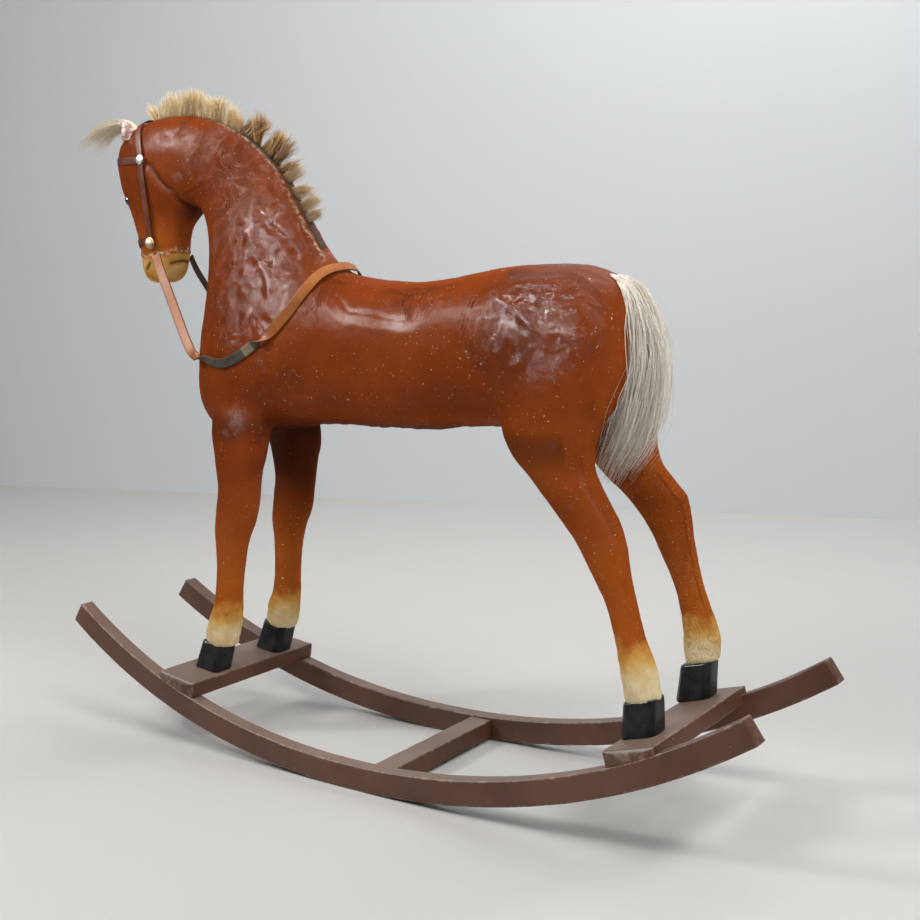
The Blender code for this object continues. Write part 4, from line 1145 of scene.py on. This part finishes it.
def make_mane(name, node, first, last, length, lean, clumps, hairs, tone, rng):
    """Upright tufts along the crest, gathered in clumps."""
    place = np.sort(rng.random(clumps))
    centres = first + (last - first) * (np.arange(clumps) + 0.5 + 0.35 * (place - 0.5)) / clumps
    which = rng.integers(0, clumps, hairs)
    spread = (last - first) / clumps * (0.56 if tone == "cream" else 0.36)
    station = np.clip(centres[which] + rng.normal(0, 1, hairs) * spread * 0.6, first, last)
    side = rng.uniform(-1, 1, hairs)
    root = form_point(station, 0.0)
    out = form_normal(station, 0.0)
    ahead = unit(form_point(station + 0.05, 0.0) - form_point(station - 0.05, 0.0))
    root[:, 1] += side * 3.6
    root -= out * 1.5
    clump_lean = rng.normal(0, 0.16 if tone == "cream" else 0.26, clumps)
    clump_side = rng.normal(0, 0.10, clumps)
    clump_long = rng.uniform(0.82, 1.06, clumps)
    edge = np.minimum(station - first, last - station) / (last - first)
    size = length * clump_long[which] * rng.uniform(0.72, 1.08, hairs)
    size *= 0.72 + 0.28 * smoothstep(0.0, 0.18, edge)
    tilt = lean + clump_lean[which] + rng.normal(0, 0.10, hairs)
    roll = clump_side[which] + side * 0.12 + rng.normal(0, 0.08, hairs)
    steps = 8
    t = np.linspace(0, 1, steps)
    bend = rng.normal(0, 0.12, (hairs, 2))
    path = np.empty((hairs, steps, 3))
    for k, u in enumerate(t):
        way = out - ahead * (tilt + bend[:, 0] * u)[:, None]
        way[:, 1] += roll + bend[:, 1] * u
        pull = (centres[which] - station)[:, None] * ahead * 9.0 * u * u
        path[:, k] = root + unit(way) * (size * u)[:, None] + pull
    path += 0.25 * rng.normal(0, 1, path.shape) * t[None, :, None]
    tint = mane_tint(tone, station, which, clumps, t, rng)
    radius = rng.uniform(0.22, 0.40, hairs)
    strands(name, path, radius, tint, node)


# x, z, half depth and half width of the plume, in millimetres
TAIL = np.array([
    (-300, 660, 4, 5), (-312, 670, 6, 8), (-326, 675, 8, 12), (-341, 666, 11, 20),
    (-353, 645, 15, 29), (-362, 614, 21, 37), (-364, 576, 30, 43), (-358, 532, 35, 46),
    (-347, 488, 36, 45), (-326, 450, 32, 40), (-310, 412, 24, 30),
], float)


def make_tail(rng):
    """A plume of hair out of the rump, locks gathering towards the tips and a few hairs astray."""
    hairs, steps, clumps = 3000, 17, 34
    last = len(TAIL) - 1
    turn = rng.uniform(0, 2 * math.pi, hairs)
    far = np.sqrt(rng.random(hairs))
    clump = rng.integers(0, clumps, hairs)
    clump_turn = rng.uniform(0, 2 * math.pi, clumps)
    clump_far = rng.random(clumps) ** 0.4
    clump_end = rng.uniform(0.72, 1.0, clumps)
    end = np.clip(clump_end[clump] * rng.beta(7, 1.3, hairs), 0.3, 1.0)
    wild = rng.random(hairs) < 0.10
    end[wild] *= 0.9
    t = np.linspace(0, 1, steps)
    path = np.empty((hairs, steps, 3))
    a0, b0 = np.cos(turn) * far, np.sin(turn) * far
    a1 = np.cos(clump_turn)[clump] * clump_far[clump]
    b1 = np.sin(clump_turn)[clump] * clump_far[clump]
    a1 = a1 + np.where(wild, rng.normal(0, 0.45, hairs), rng.normal(0, 0.10, hairs))
    b1 = b1 + np.where(wild, rng.normal(0, 0.45, hairs), rng.normal(0, 0.10, hairs))
    wave = rng.normal(0, 1, (hairs, 2, 2)) * np.where(wild, 2.2, 1.0)[:, None, None]
    sweep = rng.normal(0, 1, (clumps, 2))[clump]
    for k, u in enumerate(t):
        s = u * end * last
        x, z, deep, wide = spline(TAIL, s).T
        step = spline(TAIL, np.minimum(s + 0.1, last)) - spline(TAIL, np.maximum(s - 0.1, 0))
        way = unit(np.stack([step[:, 0], 0 * x, step[:, 1]], 1))
        across = np.stack([-way[:, 2], 0 * x, way[:, 0]], 1)
        gather = 0.66 * smoothstep(0.25, 0.9, u)
        a = a0 * (1 - gather) + a1 * gather
        b = b0 * (1 - gather) + b1 * gather
        a = a + 0.07 * wave[:, 0, 0] * math.sin(5 * u) + 0.05 * wave[:, 1, 0] * math.sin(9 * u)
        b = b + 0.07 * wave[:, 0, 1] * math.sin(5 * u) + 0.05 * wave[:, 1, 1] * math.sin(8 * u)
        a = a + 0.16 * sweep[:, 0] * math.sin(2.6 * u)
        b = b + 0.16 * sweep[:, 1] * math.sin(2.2 * u)
        path[:, k] = np.stack([x, b * wide, z], 1) + across * (a * deep)[:, None]
    path[:, 3:] += 0.35 * rng.normal(0, 1, path[:, 3:].shape)
    path = push_out(path, 1.2)
    shade = rng.uniform(0.92, 1.06, hairs)[:, None]
    base = PALE * shade
    grey = (rng.random(hairs) < 0.09)[:, None]
    base = np.where(grey, GREY * 1.5 * shade, base)
    low = (rng.random(hairs) < 0.5)[:, None]
    tip = np.where(low, base * 0.62 + GREY * 0.22, base * 0.94)
    tint = fade(base, tip, smoothstep(0.3, 1.0, t))
    radius = rng.uniform(0.34, 0.62, hairs)
    strands("tail_hairs", path, radius, tint, "tail_hair")


def push_out(path, lift):
    """Moves the points that lie inside the skin to just outside it, except at the roots."""
    out = path.copy()
    hairs, steps, _ = path.shape
    inside_from = max(2, int(steps * 0.14))
    for k in range(inside_from, steps):
        world = row(path[:, k])
        for i in range(hairs):
            hit, normal, _, _ = SKIN_TREE.find_nearest(Vector(world[i]))
            if hit is not None and (Vector(world[i]) - hit).dot(normal) < lift * MM:
                out[i, k] = horse(hit + normal * lift * MM)
    return out


# x, y, z, half depth and half width of the tuft, in millimetres
FORELOCK = np.array([
    (506, 1, 910, 3, 7), (520, 2, 919, 5, 9), (538, 4, 923, 9, 13), (558, 9, 918, 13, 17),
    (577, 13, 908, 17, 20), (594, 16, 895, 20, 22), (608, 18, 880, 20, 22),
], float)


def make_forelock(rng):
    """A tuft between the ears that falls forwards."""
    hairs, steps, clumps = 900, 10, 12
    last = len(FORELOCK) - 1
    turn = rng.uniform(0, 2 * math.pi, hairs)
    far = np.sqrt(rng.random(hairs))
    clump = rng.integers(0, clumps, hairs)
    clump_turn = rng.uniform(0, 2 * math.pi, clumps)
    end = np.clip(rng.beta(4, 1.8, hairs), 0.35, 0.97)
    t = np.linspace(0, 1, steps)
    path = np.empty((hairs, steps, 3))
    wave = rng.normal(0, 1, (hairs, 2))
    for k, u in enumerate(t):
        s = u * end * last
        x, y, z, deep, wide = spline(FORELOCK, s).T
        step = spline(FORELOCK, np.minimum(s + 0.1, last)) - spline(FORELOCK, np.maximum(s - 0.1, 0))
        way = unit(step[:, :3])
        side = unit(np.cross(way, (0.0, 0.0, 1.0)))
        over = np.cross(side, way)
        gather = 0.6 * smoothstep(0.2, 1.0, u)
        a = np.cos(turn) * far * (1 - gather) + np.cos(clump_turn[clump]) * gather
        b = np.sin(turn) * far * (1 - gather) + np.sin(clump_turn[clump]) * gather
        a = a + 0.14 * wave[:, 0] * math.sin(4 * u)
        b = b + 0.14 * wave[:, 1] * math.sin(5 * u)
        path[:, k] = np.stack([x, y, z], 1) + side * (a * wide)[:, None] + over * (b * deep)[:, None]
    path += 0.25 * rng.normal(0, 1, path.shape)
    shade = rng.uniform(0.8, 1.05, hairs)[:, None]
    base = (0.5 * CREAM + 0.5 * PALE) * shade
    dark = (rng.random(hairs) < 0.18)[:, None]
    base = np.where(dark, base * 0.5, base)
    tip = base * 0.94
    tint = fade(base, tip, t)
    strands("forelock_hairs", path, rng.uniform(0.2, 0.36, hairs), tint, "forelock_hair")


# ---------------------------------------------------------------- harness


def on_skin(points, normals, lift):
    """Drops points on to the skin along their normals and lifts them by that much."""
    out = np.array(points, float)
    for i, (p, n) in enumerate(zip(points, normals)):
        start = Vector(row(p + n * 14.0))
        hit, _, _, _ = SKIN_TREE.ray_cast(start, Vector(-n), 0.03)
        if hit is not None:
            out[i] = horse(hit)
    return out + np.asarray(normals) * lift


def strap_section(width, thick):
    """Offsets across and up of a strap with rounded edges and creased borders."""
    h = width / 2
    up = []
    for s in np.linspace(-1, 1, 15):
        crown = 0.12 * (1 - s * s)
        crease = -0.22 * math.exp(-(((abs(s) - 0.74) / 0.06) ** 2))
        drop = -0.32 * max(0.0, (abs(s) - 0.86) / 0.14) ** 2
        up.append((s * h, thick * (1 + drop) + crown + crease))
    low = [(s * h, 0.0 if abs(s) < 0.95 else 0.15 * thick) for s in np.linspace(1, -1, 9)]
    return np.array(up + low), len(up)


def strap(name, centres, normals, sides, width, thick, mats, replaces):
    """A strap whose outer face takes the first material and its back the second."""
    section, outer = strap_section(width, thick)
    rings = (
        centres[:, None] + sides[:, None] * section[None, :, :1] + normals[:, None] * section[None, :, 1:]
    )
    around = len(section)
    run = np.concatenate([[0], np.cumsum(np.linalg.norm(np.diff(centres, axis=0), axis=1))])
    points, quads, tris = capped(rings)
    across = np.tile(section[:, 0] / (width / 2), len(rings))
    across = np.concatenate([across, [0.0, 0.0]])
    lengths = np.concatenate([np.repeat(run, around), [0.0, run[-1]]])
    mesh = fast_mesh(name, row(points), quads, tris)
    paint(mesh, "strap", np.stack([across * 0.5 + 0.5, lengths / 1000.0], 1))
    ob = piece(mesh, name, mats, replaces)
    if len(mats) > 1:
        centre = np.array([np.mean([v % around for v in f.vertices]) for f in mesh.polygons])
        back = (centre > outer - 0.5) & (centre < around - 0.5)
        mesh.polygons.foreach_set("material_index", back.astype(np.int32))
    return ob


def route_on_form(route, count):
    rows = spline(route, np.linspace(0, len(route) - 1, count))
    points = form_point(rows[:, 0], rows[:, 1])
    normals = form_normal(rows[:, 0], rows[:, 1])
    return points, normals


BRIDLE_W, BRIDLE_T = 12.0, 1.8


def strap_on_skin(name, route, count, lift, node):
    """A bridle strap along a route on the head, drawn taut and lifted off the skin."""
    points, normals = route_on_form(route, count)
    points = on_skin(points, normals, lift)
    for _ in range(30):
        points[1:-1] = (points[:-2] + 2 * points[1:-1] + points[2:]) / 4
    along = unit(np.gradient(points, axis=0))
    normals = unit(normals - along * np.einsum("ij,ij->i", normals, along)[:, None])
    sides = np.cross(normals, along)
    strap(name, points, normals, sides, BRIDLE_W, BRIDLE_T, [BRIDLE], [node])


BROW_STUD = (22.65, 0.2175)
NOSE_STUD = (28.05, 0.2725)
# places on the head as (station, turn), from the left end to the middle
HEADSTALL_ROUTE = (
    (28.35, 0.273), NOSE_STUD, (26.3, 0.290), (24.35, 0.290), (23.3, 0.252), BROW_STUD,
    (22.45, 0.180), (22.35, 0.135), (22.3, 0.085), (22.2, 0.04), (22.15, 0.0),
)
BROWBAND_ROUTE = (
    (22.5, 0.225), (22.95, 0.211), (23.4, 0.1925), (24.23, 0.15), (24.8, 0.09), (25.05, 0.04),
    (25.1, 0.0),
)
NOSEBAND_ROUTE = (
    (27.95, 0.29), (28.12, 0.25), (28.35, 0.19), (28.62, 0.13), (28.75, 0.06), (28.8, 0.0),
)


def make_bridle():
    for name, route, count, lift, node in (
        ("headstall_strap", HEADSTALL_ROUTE, 130, 2.6, "headstall"),
        ("browband_strap", BROWBAND_ROUTE, 80, 0.7, "browband"),
        ("noseband_strap", NOSEBAND_ROUTE, 80, 0.7, "noseband"),
    ):
        full = list(route) + [(s, -a) for s, a in reversed(route[:-1])]
        strap_on_skin(name, full, count, lift, node)


def lathe(name, profile, origin, axis, mat, replaces, around=40):
    axis = np.array(axis, float)
    side = unit(np.cross(axis, (0.1, 0.2, 0.97)))
    other = np.cross(axis, side)
    turn = 2 * math.pi * np.arange(around) / around
    rings = [
        np.asarray(origin) + axis * h + r * (np.cos(turn)[:, None] * side + np.sin(turn)[:, None] * other)
        for r, h in profile
    ]
    points, quads, tris = capped(rings)
    piece(fast_mesh(name, row(points), quads, tris), name, mat, replaces)


def make_studs():
    for side, word in ((1, "left"), (-1, "right")):
        for kind, place, radius, dome, mat, slot in (
            ("brow", BROW_STUD, 7.2, 3.4, NICKEL, "nickel"),
            ("nose", NOSE_STUD, 9.0, 6.0, BRASS, "brass"),
        ):
            n = form_normal(place[0], place[1] * side)
            p = on_skin(form_point(place[0], place[1] * side), n, 4.6)[0]
            t = np.linspace(0, 1, 12)
            profile = [(radius * 0.94, 0.0), (radius, 0.25), (radius, 0.7), (radius * 0.95, 1.0)]
            profile += [(radius * 0.9 * math.cos(a), 1.0 + (dome - 1.0) * math.sin(a))
                        for a in t * math.pi / 2 * 0.97]
            lathe(f"{kind}_stud_{word}_cap", profile, p, n[0], mat, [f"{kind}_stud_{word}"])


# x, y, z in millimetres along the strap's run; how far its face turns about the run, in half turns, comes
# from REIN_TWIST and rein_turn
REIN_ROUTE = (
    (441, 37, 720), (431, 39, 699), (411, 44, 668), (386, 50, 628), (361, 58, 592),
    (339, 66, 573), (311, 72.5, 567), (274, 79.5, 562), (244, 81, 570), (211, 82, 588),
    (177, 82.5, 607.5), (146.5, 76, 638.5), (129, 64, 666), (113.5, 41, 691.5), (102, 0, 700),
)
REIN_TWIST = (5.0, 6.3, 8.9, 10.1)  # where the strap turns over on to its suede side and back


def rein_turn(t, last):
    """Half turns of the strap about its run at places t of the route."""
    a, b, c, d = REIN_TWIST
    left = smoothstep(a, b, t) - smoothstep(c, d, t)
    u = last - t
    return left + smoothstep(a, b, u) - smoothstep(c, d, u)


REIN_W, REIN_T = 15.0, 2.2


def make_reins():
    """One strap from one side of the muzzle, round the chest and over the withers, to the other."""
    left = [np.array(p, float) for p in REIN_ROUTE]
    full = np.array(left + [p * (1, -1, 1) for p in reversed(left[:-1])])
    last = len(full) - 1
    t = np.linspace(0, last, 260)
    path = spline(full, t)
    along = unit(np.gradient(path, axis=0))
    out = rein_outward(path)
    out = unit(out - along * np.einsum("ij,ij->i", out, along)[:, None])
    side = np.cross(out, along)
    half = rein_turn(t, last)
    edge_on = np.sin(math.pi * half) ** 2
    angle = math.pi * half * np.sign(path[:, 1])
    face = out * np.cos(angle)[:, None] + side * np.sin(angle)[:, None]
    across = np.cross(face, along) * (1 - 0.3 * edge_on)[:, None]
    centre = path + out * (REIN_T / 2 + 3.7 * edge_on)[:, None] - face * REIN_T / 2
    ob = strap("rein_strap", centre, face, across, REIN_W, REIN_T, [REIN, SUEDE],
               ["reins"])


def rein_outward(p):
    """The way the strap's face looks: away from the neck's middle line."""
    out = p - np.stack([250.0 - 0.25 * (p[:, 2] - 580.0), 0 * p[:, 0], np.full(len(p), 590.0)], 1)
    ahead = np.stack([np.full(len(p), -0.4), np.sign(p[:, 1]), 0 * p[:, 0]], 1)
    w = smoothstep(310, 350, p[:, 0])[:, None]
    return unit(unit(out) * (1 - w) + ahead * w)


REIN_MIDDLE = 0.520  # how far along the strap the withers are, metres


def leather(name, dark, mid, light, rough, scale=1.0, patch=None):
    m = Mat(name, Roughness=rough, Specular_IOR_Level=0.12)
    p = m.coords()
    s = m.attribute("strap")
    across, run = s["Red"], s["Green"]
    broad = m.noise(p, 22.0 * scale, 4.0, 0.6)
    pores = m.cells(p, 900.0 * scale, "DISTANCE_TO_EDGE")
    creases = m.noise(m.node("ShaderNodeCombineXYZ", {
        "X": m.math("MULTIPLY", run, 260.0), "Y": m.math("MULTIPLY", across, 1.5)}).outputs[0],
        1.0, 4.0, 0.6, 0.3)
    colour = m.ramp(broad, (0.3, dark), (0.52, mid), (0.75, light))
    if patch is not None:
        middle, reach, pale = patch
        near = m.math("ABSOLUTE", m.math("SUBTRACT", m.math("ABSOLUTE", m.math(
            "SUBTRACT", run, REIN_MIDDLE)), middle))
        colour = m.mix(m.math("MULTIPLY", m.step(near, reach, reach * 0.8), 0.8), colour, pale)
    edge = m.step(m.math("ABSOLUTE", m.math("SUBTRACT", across, 0.5)), 0.40, 0.5)
    colour = m.mix(m.math("MULTIPLY", edge, 0.75), colour, tuple(c * 0.28 for c in dark))
    worn = m.step(m.noise(p, 75.0 * scale, 4.0, 0.7), 0.60, 0.74)
    colour = m.mix(m.math("MULTIPLY", worn, 0.45), colour, tuple(min(1, c * 1.35) for c in light))
    m.set("Base Color", colour)
    m.set("Roughness", m.math("MULTIPLY_ADD", broad, 0.25, rough - 0.12))
    normal = m.bump(pores.outputs["Distance"], 0.0004, 0.3)
    normal = m.bump(creases, 0.0007, 0.45, normal)
    m.set("Normal", normal)
    return m.mat


def metal(name, colour, dark, rough):
    m = Mat(name, Metallic=1.0, Roughness=rough)
    p = m.coords()
    spots = m.noise(p, 260.0, 5.0, 0.7)
    m.set("Base Color", m.mix(m.step(spots, 0.45, 0.7), colour, dark))
    m.set("Roughness", m.math("MULTIPLY_ADD", spots, 0.35, rough - 0.1))
    m.set("Normal", m.bump(spots, 0.0003, 0.35))
    return m.mat


def bare_wood():
    m = Mat("bare_wood", Roughness=0.7)
    p = m.coords()
    grain = m.noise(m.scaled(p, (60.0, 60.0, 9.0)), 6.0, 5.0, 0.6, 0.6)
    m.set("Base Color", m.ramp(grain, (0.3, (0.26, 0.15, 0.07)), (0.7, (0.52, 0.36, 0.2))))
    m.set("Normal", m.bump(grain, 0.0006, 0.5))
    return m.mat


# ---------------------------------------------------------------- ears and eyes


def make_ear(name, node, side, tall):
    """A short rounded stub of painted plaster, hollowed in front."""
    base = np.array([505.0, 25.0 * side, 902.0])
    rings = []
    around = 36
    turn = 2 * math.pi * np.arange(around) / around
    for t in np.linspace(0, 1, 22):
        r = 10.2 * math.sqrt(max(1e-4, 1 - max(0.0, (t - 0.45) / 0.56) ** 2.3))
        r *= 0.93 + 0.10 * math.sin(math.pi * min(1.0, t * 1.6))
        dx = np.cos(turn) * r * 0.92
        dy = np.sin(turn) * r
        hollow = 2.2 * np.exp(-((turn - 0.25) / 0.5) ** 2) * math.sin(math.pi * min(1, t * 1.15)) ** 2
        dx = dx - hollow
        x = base[0] + dx + 1.5 * t
        y = base[1] + dy + side * 3.0 * t
        rings.append(np.stack([x, y, base[2] - 6 + (tall + 6) * t + 0 * dx], 1))
    points, quads, tris = capped(rings)
    points += 0.55 * wander(points, 6, 71)
    mesh = fast_mesh(name, row(points), quads, tris)
    piece(mesh, name, EAR_PAINT, [node])


def ear_paint():
    m = Mat("ear_paint", Roughness=0.45, Coat_Weight=0.3, Coat_Roughness=0.2)
    p = m.coords()
    chips = m.noise(p, 190.0, 4.0, 0.7)
    broad = m.noise(p, 60.0, 3.0, 0.6)
    brown = m.ramp(broad, (0.3, (0.30, 0.12, 0.09)), (0.7, (0.50, 0.28, 0.22)))
    m.set("Base Color", m.mix(m.step(chips, 0.50, 0.58), brown, (0.82, 0.74, 0.66)))
    m.set("Roughness", m.math("MULTIPLY_ADD", chips, 0.3, 0.3))
    m.set("Normal", m.bump(chips, 0.0012, 0.8))
    return m.mat


def eye_glass():
    m = Mat("eye_glass", Roughness=0.08, Coat_Weight=0.8, Coat_Roughness=0.03)
    p = m.coords()
    tint = m.noise(p, 160.0, 2.0)
    m.set("Base Color", m.ramp(tint, (0.3, (0.010, 0.006, 0.004)), (0.7, (0.045, 0.020, 0.010))))
    m.set("Roughness", m.math("MULTIPLY_ADD", tint, 0.12, 0.05))
    return m.mat


def make_eyes():
    for side, word in ((1, "left"), (-1, "right")):
        n = form_normal(26.55, 0.135 * side)
        p = on_skin(form_point(26.55, 0.135 * side), n, -1.2)[0]
        t = np.linspace(0, 1, 10)
        profile = [(7.3 * math.cos(a), 4.4 * math.sin(a)) for a in t * math.pi / 2 * 0.97]
        lathe(f"eye_{word}_lens", profile, p, n[0], EYE_GLASS, [f"eye_{word}"], 32)


# ---------------------------------------------------------------- carried-over solids


def strip_mat():
    m = Mat("hair_strip", Roughness=0.8)
    p = m.coords()
    tufts = m.noise(m.scaled(p, (600.0, 900.0, 600.0)), 1.0, 3.0)
    m.set("Base Color", m.ramp(tufts, (0.3, (0.02, 0.012, 0.008)), (0.7, (0.09, 0.05, 0.028))))
    m.set("Normal", m.bump(tufts, 0.0015, 0.8))
    return m.mat


def dress_frame():
    wood = ("bolster", "spine_board", "neck_post", "dowel", "tail_plug")
    steel = ("screw", "nail")
    for name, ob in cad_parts.items():
        mat = None
        if any(w in name for w in wood):
            mat = BARE_WOOD
        elif any(w in name for w in steel):
            mat = STEEL
        elif name == "mane_strip":
            mat = HAIR_STRIP
        if mat is not None:
            for s in ob.material_slots:
                s.material = mat


# ---------------------------------------------------------------- stage and light


def room_paint(name, tone, rough):
    m = Mat(name)
    p = m.coords()
    cloud = m.noise(p, 1.6, 5.0, 0.6)
    spots = m.noise(p, 90.0, 4.0, 0.7)
    base = m.mix(m.math("MULTIPLY", cloud, 0.5), tone, tuple(c * 0.93 for c in tone))
    fleck = m.math("MULTIPLY", m.step(spots, 0.66, 0.8), 0.18)
    m.set("Base Color", m.mix(fleck, base, tuple(c * 0.8 for c in tone)))
    m.set("Roughness", m.math("MULTIPLY_ADD", cloud, 0.2, rough))
    m.set("Normal", m.bump(spots, 0.0006, 0.15))
    return m.mat


def show_front_only(tree):
    """The wall shows on the side towards the horse and is clear from behind."""
    out = next(n for n in tree.nodes if n.bl_idname == "ShaderNodeOutputMaterial")
    paint_side = out.inputs["Surface"].links[0].from_socket
    both = tree.nodes.new("ShaderNodeMixShader")
    tree.links.new(tree.nodes.new("ShaderNodeNewGeometry").outputs["Backfacing"], both.inputs[0])
    tree.links.new(paint_side, both.inputs[1])
    tree.links.new(tree.nodes.new("ShaderNodeBsdfTransparent").outputs[0], both.inputs[2])
    tree.links.new(both.outputs[0], out.inputs["Surface"])


def stage():
    size = 14.0
    floor = link(fast_mesh("floor", [(-size, -size, 0), (size, -size, 0), (size, size, 0),
                                     (-size, size, 0)], [(0, 1, 2, 3)], smooth=False), "floor")
    floor.data.materials.append(room_paint("floor_paint", (0.55, 0.54, 0.52), 0.5))
    ahead, right = view_floor()
    eye = bpy.context.scene.camera.location * 1.0
    eye.z = 0
    low_left = eye + ahead * 4.60 - right * 1.60
    low_right = eye + ahead * 3.88 + right * 1.35
    run = (low_right - low_left).normalized()
    ends = [low_left - run * 9, low_right + run * 9]
    wall = link(fast_mesh("wall", [
        tuple(ends[0]), tuple(ends[1]),
        tuple(ends[1] + Vector((0, 0, 5))), tuple(ends[0] + Vector((0, 0, 5)))],
        [(0, 1, 2, 3)], smooth=False), "wall")
    wall.data.materials.append(room_paint("wall_paint", (0.58, 0.60, 0.615), 0.8))
    show_front_only(wall.data.materials[0].node_tree)


def area(name, spot, target, size, power, colour=(1, 1, 1), glint=False):
    """A rectangular light; a glint shows in reflections only."""
    data = bpy.data.lights.new(name, "AREA")
    data.shape = "RECTANGLE"
    data.size, data.size_y = size
    data.energy = power
    data.color = colour
    ob = bpy.data.objects.new(name, data)
    ob.location = spot
    ob.visible_diffuse = not glint
    ob.rotation_euler = (Vector(target) - Vector(spot)).to_track_quat("-Z", "Y").to_euler()
    bpy.context.scene.collection.objects.link(ob)


def lights():
    """A key light and windows seen only as glints, a broad side light, one overhead, a wall wash."""
    middle = Vector((-0.05, 0.05, 0.6))
    area("key", middle + toward(130, 34) * 2.6, middle, (0.55, 0.45), 30, (1.0, 0.985, 0.96))
    for name, turn, lift, away, size, power, glint in (
        ("key_window", 131, 33, 2.5, (0.8, 0.6), 170, True),
        ("second_window", 166, 31, 2.7, (0.5, 0.5), 58, True),
        ("side", 246, 38, 2.8, (1.3, 1.3), 57, False),
    ):
        area(name, middle + toward(turn, lift) * away, middle, size, power, glint=glint)
    area("top", Vector((-0.2, 0.3, 3.3)), (0, 0, 0), (2.2, 2.2), 30)
    ahead, right = view_floor()
    area("wash", ahead * 1.2 + right * 1.4 + Vector((0, 0, 2.9)), ahead * 3.0 + Vector((0, 0, 0.9)),
         (3.2, 0.6), 61)
    world = bpy.data.worlds.new("studio")
    world.use_nodes = True
    back = world.node_tree.nodes["Background"]
    back.inputs[0].default_value = (0.90, 0.92, 0.95, 1.0)
    back.inputs[1].default_value = 0.16
    bpy.context.scene.world = world
    view = bpy.context.scene.view_settings
    view.view_transform = "Standard"
    view.look = "None"


# ---------------------------------------------------------------- assembly

LACQUER = lacquer()
FRAME_PAINT = frame_paint()
HOOF_BLACK = hoof_black()
HORSEHAIR = hair_mat()
BRIDLE = leather("bridle_leather", (0.085, 0.020, 0.008), (0.15, 0.036, 0.012), (0.25, 0.075, 0.022), 0.42)
REIN = leather("rein_leather", (0.27, 0.080, 0.022), (0.38, 0.120, 0.028), (0.47, 0.170, 0.042), 0.45)
SUEDE = leather("rein_suede", (0.04, 0.030, 0.024), (0.085, 0.066, 0.052), (0.15, 0.12, 0.09), 0.8,
                patch=(0.207, 0.011, (0.30, 0.235, 0.15)))
NICKEL = metal("nickel", (0.66, 0.65, 0.63), (0.42, 0.40, 0.37), 0.28)
BRASS = metal("brass", (0.42, 0.30, 0.19), (0.20, 0.13, 0.08), 0.38)
STEEL = metal("steel", (0.5, 0.49, 0.47), (0.28, 0.22, 0.18), 0.4)
BARE_WOOD = bare_wood()
EAR_PAINT = ear_paint()
EYE_GLASS = eye_glass()
HAIR_STRIP = strip_mat()

SKIN_TREE = make_skin()
make_reins()
make_rocker("rocker_left_bow", 1, "rocker_left")
make_rocker("rocker_right_bow", -1, "rocker_right")
make_platform("front_board", FRONT_BOARD, 23.0, "front_platform")
make_platform("rear_board", REAR_BOARD, 21.0, "rear_platform")
make_slat()
for word in HOOVES:
    make_hoof(word)
for row_of_mane in MANE:
    make_mane(*row_of_mane, np.random.default_rng(SEED + len(row_of_mane[0])))
make_tail(np.random.default_rng(SEED + 1))
make_forelock(np.random.default_rng(SEED + 2))
make_bridle()
make_studs()
make_eyes()
make_ear("ear_left_stub", "ear_left", 1, 24.0)
make_ear("ear_right_stub", "ear_right", -1, 30.0)
dress_frame()
stage()
lights()
